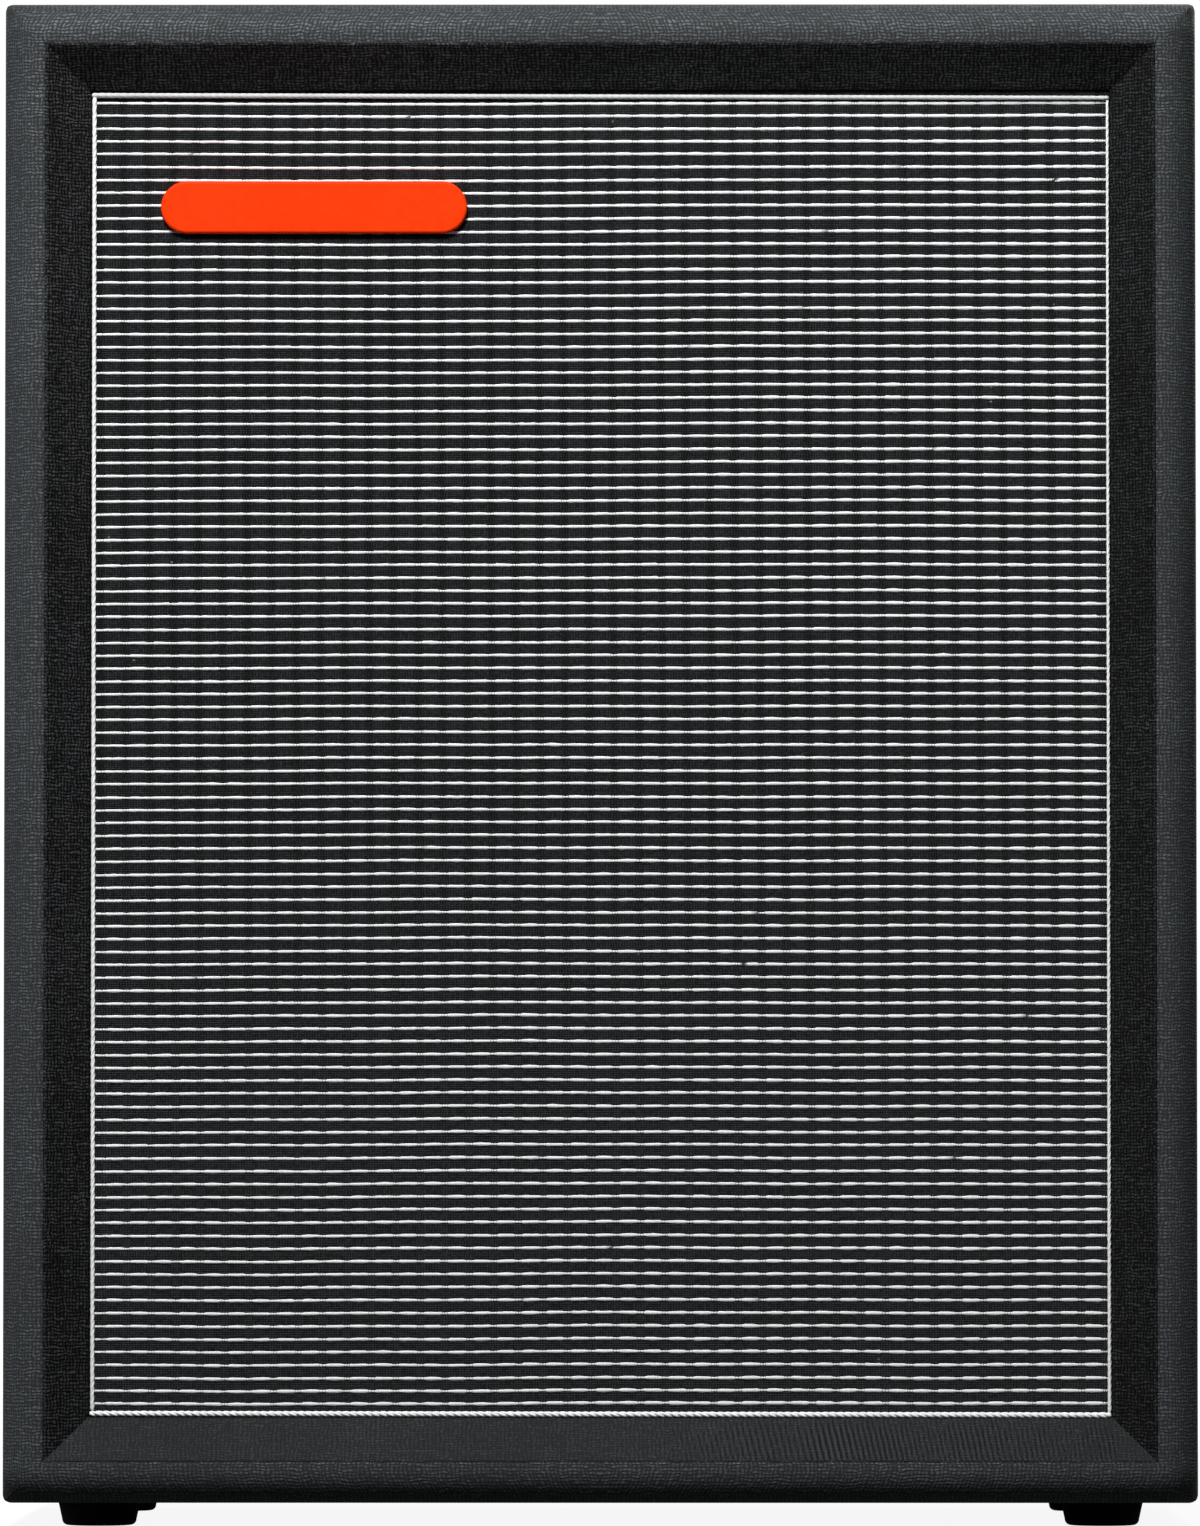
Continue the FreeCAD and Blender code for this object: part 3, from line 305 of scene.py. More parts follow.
def woven_threads():
    """Over-and-under threads, counted by Across and Along.

    Wander bends the threads, Floats skips crossings and Warp Rise lowers or lifts the warp.
    """
    sockets = {name: "Float" for name in ("Across", "Along", "Wander", "Floats", "Warp Rise")}
    group, tree, given, leave = effect("woven_threads", sockets, ("Height", "Thread Tone", "Crossing Tone"))
    place = tree.join(given["Across"], given["Along"], 0.0)
    stray = tree.noise(place, 0.31, detail=3.0).outputs["Color"]
    stray = tree.vector("SUBTRACT", stray, (0.5, 0.5, 0.5))
    stray = tree.scaled(stray, tree.math("MULTIPLY", given["Wander"], 6.0))
    across, along, _ = tree.split(tree.vector("ADD", place, stray))
    column = tree.math("FLOOR", across)
    row = tree.math("FLOOR", along)
    skipped = tree.math("LESS_THAN", tree.scatter(tree.join(column, row, 3.0)), given["Floats"])
    parity = tree.math("ADD", tree.math("ADD", column, row), skipped)
    over = tree.math("FLOORED_MODULO", parity, 2.0)
    under = tree.math("SUBTRACT", 1.0, over)
    warp = tree.math("SINE", tree.math("MULTIPLY", tree.math("FRACT", across), math.pi))
    weft = tree.math("SINE", tree.math("MULTIPLY", tree.math("FRACT", along), math.pi))
    warp_long = tree.math("MULTIPLY", over, tree.math("SQRT", weft))
    weft_long = tree.math("MULTIPLY", under, tree.math("SQRT", warp))
    warp_swell = tree.math("MULTIPLY_ADD", warp_long, 0.7, 0.3)
    weft_swell = tree.math("MULTIPLY_ADD", weft_long, 0.7, 0.3)
    warp_height = tree.math("MULTIPLY", tree.math("MULTIPLY", warp, warp_swell), given["Warp Rise"])
    height = tree.math("MAXIMUM", warp_height, tree.math("MULTIPLY", weft, weft_swell))
    warp_tone = tree.scatter(tree.join(column, 11.0, 0.0))
    weft_tone = tree.scatter(tree.join(23.0, row, 0.0))
    tone = tree.math("ADD", tree.math("MULTIPLY", warp_tone, over), tree.math("MULTIPLY", weft_tone, under))
    tree.feed(leave.inputs["Height"], height)
    tree.feed(leave.inputs["Thread Tone"], tone)
    tree.feed(leave.inputs["Crossing Tone"], tree.scatter(tree.join(column, row, 7.0)))
    return group


def fine_grain():
    """Small uneven grain for paint, plate, card, paper and rubber."""
    sockets = {"Vector": "Vector", "Scale": "Float"}
    group, tree, given, leave = effect("fine_grain", sockets, ("Height", "Tone"))
    fine = tree.noise(given["Vector"], given["Scale"], detail=3.0, roughness=0.6).outputs[0]
    wide = tree.noise(given["Vector"], tree.math("MULTIPLY", given["Scale"], 0.06), detail=2.0).outputs[0]
    tone = tree.math("ADD", tree.math("MULTIPLY", fine, 0.55), tree.math("MULTIPLY", wide, 0.45))
    tree.feed(leave.inputs["Height"], fine)
    tree.feed(leave.inputs["Tone"], tree.span(tone, 0.35, 0.65))
    return group


def handling_marks():
    """Faint scuffs and rubbed patches left by handling."""
    group, tree, given, leave = effect("handling_marks", {"Vector": "Vector", "Amount": "Float"}, ("Mask",))
    long_way = tree.vector("MULTIPLY", given["Vector"], (1.0, 1.0, 0.18))
    streaks = tree.noise(long_way, 260.0, detail=4.0, roughness=0.7).outputs[0]
    patches = tree.noise(given["Vector"], 9.0, detail=2.0).outputs[0]
    mask = tree.math("MULTIPLY", tree.span(streaks, 0.6, 0.72), tree.span(patches, 0.45, 0.7))
    tree.feed(leave.inputs["Mask"], tree.math("MULTIPLY", mask, given["Amount"]))
    return group


def dust_specks():
    """Sparse specks of dust and lint."""
    sockets = {"Vector": "Vector", "Scale": "Float", "Share": "Float"}
    group, tree, given, leave = effect("dust_specks", sockets, ("Mask",))
    cells = tree.add("ShaderNodeTexVoronoi", {"Vector": given["Vector"], "Scale": given["Scale"]})
    near = tree.span(cells.outputs["Distance"], 0.05, 0.12, 1.0, 0.0)
    pick = tree.math("LESS_THAN", tree.split(cells.outputs["Color"])[0], given["Share"])
    tree.feed(leave.inputs["Mask"], tree.math("MULTIPLY", near, pick))
    return group


def wood_figure():
    """Growth rings drawn out along the grain, with fine pores."""
    sockets = {"Vector": "Vector", "Scale": "Float"}
    group, tree, given, leave = effect("wood_figure", sockets, ("Tone", "Height"))
    drawn_out = tree.vector("MULTIPLY", given["Vector"], (1.0, 1.0, 0.07))
    bend = tree.noise(drawn_out, tree.math("MULTIPLY", given["Scale"], 0.25), detail=2.0).outputs[0]
    bands = tree.math("SINE", tree.math("MULTIPLY", bend, 60.0))
    pores = tree.noise(drawn_out, tree.math("MULTIPLY", given["Scale"], 6.0), detail=3.0).outputs[0]
    tone = tree.math("ADD", tree.math("MULTIPLY", bands, 0.25), tree.math("MULTIPLY", pores, 0.8))
    tree.feed(leave.inputs["Tone"], tree.span(tone, 0.1, 0.75))
    tree.feed(leave.inputs["Height"], pores)
    return group


WOVEN = woven_threads()
GRAIN = fine_grain()
MARKS = handling_marks()
DUST = dust_specks()
WOOD = wood_figure()


# Finishes

def new_finish(name, **plain):
    """New material with one Principled shader; plain values go on the shader's own sockets."""
    material = bpy.data.materials.new(name)
    material.use_nodes = True
    material.node_tree.nodes.clear()
    tree = Tree(material.node_tree)
    shader = tree.add("ShaderNodeBsdfPrincipled")
    for label, value in plain.items():
        tree.feed(shader.inputs[label.replace("_", " ")], value)
    output = tree.add("ShaderNodeOutputMaterial")
    tree.feed(output.inputs["Surface"], shader.outputs[0])
    place = tree.add("ShaderNodeTexCoord").outputs
    return material, tree, shader.inputs, place


def wrapped_place(tree, place):
    """Thread counts over the case: the weave turns with the covering round its edges."""
    x, y, z = tree.split(place["Object"])
    _, _, face_z = tree.split(place["Normal"])
    level = tree.math("GREATER_THAN", tree.math("ABSOLUTE", face_z), level_face)
    upright = tree.math("SUBTRACT", 1.0, level)
    across = tree.math("MULTIPLY_ADD", y, upright, tree.math("ABSOLUTE", x))
    height = tree.math("ABSOLUTE", tree.math("SUBTRACT", z, case_centre.z))
    along = tree.math("MULTIPLY_ADD", y, level, height)
    return across, along


def sloped_place(tree, place):
    """Thread counts over the bevels, drawn out where a bevel slopes."""
    x, _, z = tree.split(place["Object"])
    face_x, _, face_z = tree.split(place["Normal"])
    beside = tree.math("GREATER_THAN", tree.math("ABSOLUTE", face_x), sloped_face)
    above = tree.math("GREATER_THAN", tree.math("ABSOLUTE", face_z), sloped_face)
    stretch = math.sqrt(2.0) - 1.0
    across = tree.math("MULTIPLY", x, tree.math("MULTIPLY_ADD", beside, stretch, 1.0))
    along = tree.math("MULTIPLY", z, tree.math("MULTIPLY_ADD", above, stretch, 1.0))
    return across, along


def rounded_corners(tree, place):
    """Normal of the case's front edge, turned smoothly round the four front corners."""
    x, y, z = tree.split(place["Object"])
    height = tree.math("SUBTRACT", z, case_centre.z)
    aside = tree.span(tree.math("ABSOLUTE", x), case_half_width - front_edge_radius, case_half_width)
    above = tree.span(tree.math("ABSOLUTE", height), case_half_height - front_edge_radius, case_half_height)
    tilted = tree.math("MULTIPLY_ADD", aside, aside, tree.math("MULTIPLY", above, above))
    forward = tree.math("SQRT", tree.math("MAXIMUM", tree.math("SUBTRACT", 1.0, tilted), 0.0))
    turned = tree.join(
        tree.math("MULTIPLY", aside, tree.math("SIGN", x)),
        tree.math("MULTIPLY", forward, -1.0),
        tree.math("MULTIPLY", above, tree.math("SIGN", height)),
    )
    in_front = tree.math("LESS_THAN", y, case_low.y + front_edge_radius)
    on_edge = tree.math("MULTIPLY", in_front, tree.math("GREATER_THAN", tilted, 0.0))
    node = tree.add("ShaderNodeMix", data_type="VECTOR")
    tree.feed(node.inputs["Factor"], on_edge)
    tree.feed(node.inputs["A"], tree.add("ShaderNodeNewGeometry").outputs["Normal"])
    tree.feed(node.inputs["B"], tree.vector("NORMALIZE", turned))
    return node.outputs["Result"]


def black_vinyl(name, thread_place, gap_colour, nub_colour, shine=0.35, normal=None):
    """Black vinyl with an uneven linen weave pressed into it; where it is pulled into furrows the colour
    carries painted shade in the furrows and a painted highlight on the crests between them.
    """
    material, tree, shader, place = new_finish(name, Specular_IOR_Level=shine)
    across, along = thread_place(tree, place)
    threads = tree.group(
        WOVEN,
        Across=tree.math("DIVIDE", across, vinyl_warp_pitch),
        Along=tree.math("DIVIDE", along, vinyl_weft_pitch),
        Wander=0.34,
        Floats=0.45,
        Warp_Rise=0.85,
    )
    strength = tree.math("MULTIPLY_ADD", threads["Thread Tone"], 0.35, threads["Crossing Tone"])
    tone = tree.math("MULTIPLY", threads["Height"], tree.span(strength, 0.1, 1.25, 0.55, 1.0))
    patches = tree.noise(place["Object"], 14.0, detail=3.0).outputs[0]
    tone = tree.math("MULTIPLY", tone, tree.span(patches, 0.3, 0.7, 0.85, 1.1))
    furrow = tree.add("ShaderNodeAttribute", attribute_name=FURROW).outputs["Fac"]
    marks = tree.group(MARKS, Vector=place["Object"], Amount=0.2)["Mask"]
    colour = tree.blend(tree.span(tone, 0.3, 0.9), gap_colour, nub_colour)
    colour = tree.blend(marks, colour, (0.07, 0.074, 0.078))
    # Painted highlight on the crests and painted shade in the furrows: the colour goes lighter on the
    # crests and near black in the furrows.
    crest = tree.span(furrow, -0.35, -0.05, 0.5, 0.0)
    furrow_painted_shade = tree.span(furrow, 0.1, 0.6, 0.0, 0.95)
    colour = tree.blend(crest, colour, (0.05, 0.053, 0.057))
    tree.feed(shader["Base Color"], tree.blend(furrow_painted_shade, colour, (0.001, 0.001, 0.001)))
    tree.feed(shader["Roughness"], tree.span(tone, 0.2, 0.9, 0.8, 0.5))
    facing = normal(tree, place) if normal else None
    tree.feed(shader["Normal"], tree.bump(tone, vinyl_relief, facing))
    return material


def grille_weave():
    """Black grille cloth: matt cotton, with painted shade along the binder dips in its upper part, a little
    painted light along them near the bottom, and painted light that grows towards the right.
    """
    material, tree, shader, place = new_finish(
        "grille_weave", Roughness=0.92, Specular_IOR_Level=0.1, Sheen_Weight=0.05, Sheen_Roughness=0.5,
    )
    x, _, z = tree.split(place["Object"])
    threads = tree.group(
        WOVEN,
        Across=tree.math("DIVIDE", x, weave_pitch),
        Along=tree.math("DIVIDE", z, weft_pitch),
        Wander=0.06,
        Floats=0.12,
        Warp_Rise=1.0,
    )
    low_drift, high_drift = warp_drift(lean_from), warp_drift(lean_to)
    drift = tree.span(z, lean_from, lean_to, float(low_drift), float(high_drift))
    step = tree.math("SUBTRACT", tree.math("SUBTRACT", x, repeat_shift), drift)
    column = tree.math("COSINE", tree.math("MULTIPLY", step, FULL_TURN / repeat_width))
    # Painted shade: the cloth is darkened in bands along the binder dips in its upper part, and lightened a
    # little along them near the bottom.
    shade = tree.math("MULTIPLY", tree.span(column, 0.1, 0.95), tree.span(z, 0.2, 0.4, 0.12, -0.5))
    blotches = tree.noise(place["Object"], 900.0).outputs[0]
    uneven = tree.math("MULTIPLY", threads["Thread Tone"], 0.3)
    uneven = tree.math("MULTIPLY_ADD", threads["Crossing Tone"], 0.7, uneven)
    uneven = tree.math("MULTIPLY", uneven, tree.span(blotches, 0.35, 0.65, 0.4, 1.6))
    tone = tree.math("MULTIPLY", threads["Height"], tree.span(uneven, 0.0, 1.0, 0.45, 1.3))
    # Painted light: the cloth's tone grows lighter from left to right.
    rightward_painted_light = tree.span(x, cloth_low.x, cloth_high.x, 0.94, 1.14)
    tone = tree.math("MULTIPLY", tone, tree.math("ADD", shade, rightward_painted_light))
    specks = tree.group(DUST, Vector=place["Object"], Scale=160.0, Share=0.012)["Mask"]
    colour = tree.blend(tree.span(tone, 0.1, 0.85), (0.0008, 0.0009, 0.0011), (0.034, 0.036, 0.039))
    tree.feed(shader["Base Color"], tree.blend(specks, colour, (0.22, 0.22, 0.21)))
    tree.feed(shader["Normal"], tree.bump(threads["Height"], cloth_relief))
    return material


def white_yarn():
    """White cotton line yarn with a fine twist."""
    material, tree, shader, place = new_finish("white_yarn", Roughness=0.7, Specular_IOR_Level=0.3)
    x, _, z = tree.split(place["Object"])
    slant = tree.math("MULTIPLY_ADD", x, 1.0, tree.math("MULTIPLY", z, 1.4))
    twist = tree.math("SINE", tree.math("MULTIPLY", slant, FULL_TURN / yarn_twist))
    fibres = tree.noise(place["Object"], 1800.0, detail=3.0).outputs[0]
    tone = tree.math("MULTIPLY_ADD", twist, 0.12, fibres)
    colour = tree.blend(tree.span(tone, 0.3, 0.7), (0.70, 0.705, 0.71), (0.91, 0.915, 0.92))
    tree.feed(shader["Base Color"], colour)
    tree.feed(shader["Normal"], tree.bump(tone, yarn_relief))
    return material


def black_yarn():
    """Black warp yarn that binds the white lines down."""
    material, tree, shader, place = new_finish("black_yarn", Roughness=0.9, Specular_IOR_Level=0.2)
    fibres = tree.noise(place["Object"], 1500.0, detail=3.0).outputs[0]
    colour = tree.blend(tree.span(fibres, 0.3, 0.7), (0.010, 0.010, 0.011), (0.034, 0.035, 0.036))
    tree.feed(shader["Base Color"], colour)
    tree.feed(shader["Normal"], tree.bump(fibres, yarn_relief))
    return material


def laid_cord(name, low, high):
    """White laid cord, slightly lustrous."""
    material, tree, shader, place = new_finish(name, Specular_IOR_Level=0.4)
    grain = tree.group(GRAIN, Vector=place["Object"], Scale=900.0)
    patches = tree.noise(place["Object"], 30.0).outputs[0]
    tone = tree.math("MULTIPLY", grain["Tone"], tree.span(patches, 0.3, 0.7, 0.75, 1.0))
    tree.feed(shader["Base Color"], tree.blend(tone, low, high))
    tree.feed(shader["Roughness"], tree.span(grain["Tone"], 0.0, 1.0, 0.5, 0.66))
    tree.feed(shader["Normal"], tree.bump(grain["Height"], cord_relief))
    return material


def grained_finish(name, low, high, rough, scale, depth, stretch=(1.0, 1.0, 1.0), marks=0.0, **plain):
    """Paint, plate, card or rubber: two tones, a roughness range and a shallow grain."""
    material, tree, shader, place = new_finish(name, **plain)
    spot = tree.vector("MULTIPLY", place["Object"], stretch)
    grain = tree.group(GRAIN, Vector=spot, Scale=scale)
    colour = tree.blend(grain["Tone"], low, high)
    if marks:
        scuffs = tree.group(MARKS, Vector=place["Object"], Amount=marks)["Mask"]
        paler = tuple(min(1.0, 1.6 * part + 0.03) for part in high)
        colour = tree.blend(scuffs, colour, paler)
    tree.feed(shader["Base Color"], colour)
    rough_low, rough_high = rough
    tree.feed(shader["Roughness"], tree.span(grain["Tone"], 0.0, 1.0, rough_low, rough_high))
    tree.feed(shader["Normal"], tree.bump(grain["Height"], depth))
    return material


def wooden_finish(name, low, high, rough, scale):
    """Wood with its figure drawn out upwards."""
    material, tree, shader, place = new_finish(name, Roughness=rough)
    figure = tree.group(WOOD, Vector=place["Object"], Scale=scale)
    tree.feed(shader["Base Color"], tree.blend(figure["Tone"], low, high))
    tree.feed(shader["Normal"], tree.bump(figure["Height"], wood_relief))
    return material


def woven_finish(name, low, high, pitch, depth, rough):
    """Pressed cloth of a loudspeaker's moving parts."""
    material, tree, shader, place = new_finish(name, Roughness=rough)
    x, _, z = tree.split(place["Object"])
    threads = tree.group(
        WOVEN,
        Across=tree.math("DIVIDE", x, pitch),
        Along=tree.math("DIVIDE", z, pitch),
        Wander=0.04,
        Floats=0.0,
        Warp_Rise=1.0,
    )
    tone = tree.math("MULTIPLY", threads["Height"], 0.7)
    tone = tree.math("MULTIPLY_ADD", threads["Thread Tone"], 0.3, tone)
    tree.feed(shader["Base Color"], tree.blend(tone, low, high))
    tree.feed(shader["Normal"], tree.bump(threads["Height"], depth))
    return material


def coil_winding():
    """Enamelled copper turns on a paper former."""
    material, tree, shader, place = new_finish("coil_winding", Metallic=0.7)
    _, y, _ = tree.split(place["Object"])
    turns = tree.math("SINE", tree.math("MULTIPLY", y, FULL_TURN / coil_pitch))
    share = tree.span(turns, -1.0, 1.0)
    tree.feed(shader["Base Color"], tree.blend(share, (0.32, 0.13, 0.05), (0.72, 0.36, 0.17)))
    tree.feed(shader["Roughness"], tree.span(turns, -1.0, 1.0, 0.55, 0.3))
    tree.feed(shader["Normal"], tree.bump(share, coil_relief))
    return material


# Paint, plate, card and rubber: two tones, roughness range, grain per metre, grain depth in mm, and extras
grained_rows = {
    "badge_orange": (
        (0.86, 0.036, 0.001), (0.98, 0.046, 0.002), (0.45, 0.6), 260.0, 0.03,
        {"Specular_IOR_Level": 0.05},
    ),
    "screw_steel": (
        (0.42, 0.43, 0.44), (0.66, 0.66, 0.66), (0.24, 0.42), 700.0, 0.02, {"marks": 0.5, "Metallic": 1.0},
    ),
    "nickel": (
        (0.56, 0.54, 0.50), (0.74, 0.72, 0.68), (0.14, 0.32), 500.0, 0.015, {"marks": 0.4, "Metallic": 1.0},
    ),
    "black_steel": (
        (0.012, 0.012, 0.013), (0.030, 0.031, 0.032), (0.42, 0.6), 1400.0, 0.12, {"marks": 0.5},
    ),
    "grip_chrome": (
        (0.66, 0.67, 0.68), (0.80, 0.81, 0.82), (0.06, 0.22), 240.0, 0.01,
        {"stretch": (1.0, 0.2, 1.0), "marks": 0.6, "Metallic": 1.0},
    ),
    "contact_brass": (
        (0.50, 0.33, 0.12), (0.76, 0.58, 0.30), (0.22, 0.4), 600.0, 0.015, {"Metallic": 1.0},
    ),
    "basket_paint": (
        (0.19, 0.20, 0.22), (0.29, 0.30, 0.32), (0.4, 0.55), 380.0, 0.05, {"marks": 0.3},
    ),
    "cone_paper": (
        (0.026, 0.026, 0.027), (0.075, 0.073, 0.070), (0.8, 0.95), 420.0, 0.15,
        {"stretch": (1.0, 0.4, 1.0)},
    ),
    "gasket_card": ((0.06, 0.05, 0.045), (0.14, 0.125, 0.11), (0.85, 0.95), 800.0, 0.1, {}),
    "ferrite": ((0.05, 0.05, 0.053), (0.12, 0.12, 0.125), (0.55, 0.75), 520.0, 0.08, {}),
    "plate_steel": (
        (0.40, 0.38, 0.31), (0.60, 0.58, 0.50), (0.28, 0.45), 300.0, 0.02, {"marks": 0.4, "Metallic": 1.0},
    ),
    "terminal_board": (
        (0.22, 0.10, 0.03), (0.40, 0.22, 0.09), (0.45, 0.6), 450.0, 0.04,
        {"stretch": (1.0, 1.0, 0.15)},
    ),
    "cable_sheath": ((0.022, 0.022, 0.022), (0.05, 0.05, 0.05), (0.4, 0.55), 900.0, 0.05, {}),
    "foot_rubber": (
        (0.004, 0.004, 0.004), (0.014, 0.014, 0.014), (0.75, 0.95), 650.0, 0.12,
        {"Specular_IOR_Level": 0.15},
    ),
}

# Wood: two tones, roughness and figure per metre
wooden_rows = {
    "birch_ply": ((0.42, 0.29, 0.17), (0.70, 0.55, 0.36), 0.7, 70.0),
    "frame_pine": ((0.48, 0.30, 0.14), (0.76, 0.58, 0.36), 0.65, 55.0),
    "baffle_black": ((0.012, 0.012, 0.012), (0.036, 0.035, 0.034), 0.8, 70.0),
}

# Pressed cloth: two tones, thread pitch and depth in mm, and roughness
pressed_rows = {
    "edge_cloth": ((0.02, 0.018, 0.016), (0.075, 0.068, 0.06), 0.8, 0.1, 0.55),
    "spider_cloth": ((0.40, 0.27, 0.09), (0.72, 0.55, 0.28), 1.1, 0.2, 0.8),
}


def all_finishes():
    """One finish for each material slot of the frame."""
    rim_gap, rim_nub = (0.0146, 0.0170, 0.0189), (0.0805, 0.0945, 0.104)
    finishes = {
        "black_vinyl": black_vinyl("black_vinyl", wrapped_place, rim_gap, rim_nub, normal=rounded_corners),
        "grille_weave": grille_weave(),
        "piping_cord": laid_cord("piping_cord", (0.78, 0.785, 0.79), (0.94, 0.945, 0.95)),
        "coil_winding": coil_winding(),
    }
    for name, (low, high, rough, scale, depth, extras) in grained_rows.items():
        finishes[name] = grained_finish(name, low, high, rough, scale, depth * MM, **extras)
    for name, (low, high, rough, scale) in wooden_rows.items():
        finishes[name] = wooden_finish(name, low, high, rough, scale)
    for name, (low, high, pitch, depth, rough) in pressed_rows.items():
        finishes[name] = woven_finish(name, low, high, pitch * MM, depth * MM, rough)
    return finishes


# Pieces

def new_piece(name, mesh, finish):
    """Adds a mesh to the scene as a piece of the object that rides on the case."""
    mesh.materials.append(finish)
    mesh.shade_smooth()
    piece = bpy.data.objects.new(name, mesh)
    bpy.context.scene.collection.objects.link(piece)
    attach(piece, "case")
    return piece


def tube_mesh(name, rings):
    """Closed tubes from an array of (tubes, rings, points round, 3), with a map that keeps them in rows."""
    tubes, count, sides, _ = rings.shape
    index = np.arange(tubes * count * sides).reshape(tubes, count, sides)
    near, far = index[:, :-1], index[:, 1:]
    next_near, next_far = np.roll(near, -1, axis=2), np.roll(far, -1, axis=2)
    quads = np.stack([near, far, next_far, next_near], axis=-1).reshape(-1, 4)
    starts = index[:, 0].tolist()
    ends = index[:, -1, ::-1].tolist()
    mesh = bpy.data.meshes.new(name)
    mesh.from_pydata(rings.reshape(-1, 3).tolist(), [], quads.tolist() + starts + ends)
    tube, ring, side = np.meshgrid(np.arange(tubes), np.arange(count - 1), np.arange(sides), indexing="ij")
    left = ring / (count - 1)
    right = (ring + 1) / (count - 1)
    low = (tube + side / sides) / tubes
    high = (tube + (side + 1) / sides) / tubes
    corners = np.stack([left, low, right, low, right, high, left, high], axis=-1).reshape(-1, 2)
    caps = np.tile(corners[:sides], (2 * tubes, 1))
    layer = mesh.uv_layers.new(name=KEPT_MAP)
    layer.uv.foreach_set("vector", np.concatenate([corners, caps]).astype(np.float32).ravel())
    return mesh


def line_heights():
    """Heights of the white lines, top one first."""
    return np.linspace(piping_top - first_line_drop, piping_bottom + last_line_rise, line_count)


def line_stray(x, z):
    """How far a line strays from straight where the stretched cloth pulls it, most near the bottom."""
    slow = np.sin(x / 0.105 + 1.7 * np.sin(z / 0.19)) + 0.5 * np.sin(x / 0.046 + z / 0.11 + 0.6)
    quick = 0.4 * np.sin(x / 0.0185 + 2.1 * np.sin(z / 0.052)) + 0.15 * np.sin(x / 0.0092 + z / 0.013)
    pulled = np.clip(1.25 - z / 0.9, 0.5, 1.2)
    return cloth_wave * (slow + pulled * quick) / 1.5


def dash_depth(x, z):
    """How deeply the binders draw a line in: least at the top left, most at the bottom right."""
    return np.clip(0.9 + 0.25 * x / piping_x + 0.4 * (0.4 - z) / 0.4, 0.55, 1.3)


def boldness(x, z):
    """How full a line shows: a little more where it dips deeply and towards the top right."""
    rightward = (1.0 + x / piping_x) / 2
    upward = np.clip((z - 0.4) / 0.3, 0.0, 1.0)
    return (0.87 + 0.19 * dash_depth(x, z)) * (1.0 + rightward * (0.08 + 0.14 * upward))


def warp_drift(z):
    """How far the warp has drifted sideways at a height, because the cloth was stretched a little askew."""
    return warp_lean * (upright_height - np.clip(z, lean_from, lean_to))


def repeat_starts():
    """Left ends of the weave's repeats across the cloth."""
    first = math.floor((-piping_x - repeat_shift) / repeat_width)
    last = math.ceil((piping_x - repeat_shift) / repeat_width)
    return repeat_shift + repeat_width * (np.arange(first, last) + 0.5 * dipped_ends / warp_ends)


def white_lines(name, heights, seed, finish):
    """White weft yarns: full where they float, thin where the binders hold them down."""
    drawn = np.random.default_rng(seed)
    floating = 1 - dipped_ends / warp_ends
    shares = np.array([0.0, 0.1, 0.5, 0.9, 1.0, 1.0 + 0.5 * (1 / floating - 1)]) * floating
    thinning = np.array([0.2, 0.06, 0.0, 0.06, 0.2, 0.34])
    starts = repeat_starts()
    x = (starts[:, None] + repeat_width * shares[None, :]).ravel()
    thin = np.tile(thinning, len(starts))
    inside = np.abs(x) < piping_x - piping_radius
    x, thin = x[inside], thin[inside]
    tubes = len(heights)
    x = x + warp_drift(heights[:, None]) + drawn.normal(0.0, float_scatter, (tubes, len(x)))
    x[:, 0], x[:, -1] = -piping_x, piping_x
    full = (1.0 - thin * dash_depth(x, heights[:, None])) * drawn.normal(1.0, fullness_scatter, x.shape)
    z = heights[:, None] + line_stray(x, heights[:, None]) + drawn.normal(0.0, kink_scatter, x.shape)
    z += drawn.normal(0.0, row_scatter, (tubes, 1))
    profile = np.array([(-1.0, 0.0), (-0.65, 0.75), (0.0, 1.0), (0.65, 0.75), (1.0, 0.0)])
    rings = np.empty((*x.shape, len(profile), 3))
    rings[..., 0] = x[..., None]
    bold = full * boldness(x, heights[:, None])
    rings[..., 1] = cloth_front + line_sink - (line_rise * full)[..., None] * profile[:, 1]
    rings[..., 2] = z[..., None] + (line_half_width * bold)[..., None] * profile[:, 0]
    return new_piece(name, tube_mesh(name, rings), finish)


def binder_ends(name, starts, heights, seed, finish):
    """Black warp yarns that run up the cloth and step over each white line."""
    drawn = np.random.default_rng(seed)
    floating = 1 - dipped_ends / warp_ends
    shares = floating + (np.arange(dipped_ends) + 0.5) / warp_ends
    x = (starts[:, None] + repeat_width * shares[None, :]).ravel()
    x = x[np.abs(x) < piping_x - 2 * piping_radius]
    pitch = heights[0] - heights[1]
    z = np.sort(np.concatenate([heights, heights + pitch / 2]))
    over = np.isclose(np.abs(z[:, None] - heights[None, :]).min(axis=1), 0.0)
    tubes = len(x)
    spread = drawn.normal(1.0, binder_rise_scatter, (tubes, len(z)))
    rise = np.maximum(np.where(over, binder_rise, binder_rest) * spread, 0.5 * binder_rest)
    x = x[:, None] + warp_drift(z[None, :]) + drawn.normal(0.0, binder_scatter, (tubes, len(z)))
    z = z[None, :] + line_stray(x, z[None, :])
    profile = np.array([(1.0, 0.0), (0.55, 1.0), (-0.55, 1.0), (-1.0, 0.0)])
    rings = np.empty((*x.shape, len(profile), 3))
    rings[..., 0] = x[..., None] + binder_half_width * profile[:, 0]
    rings[..., 1] = cloth_front + line_sink - rise[..., None] * profile[:, 1]
    rings[..., 2] = z[..., None]
    return new_piece(name, tube_mesh(name, rings), finish)


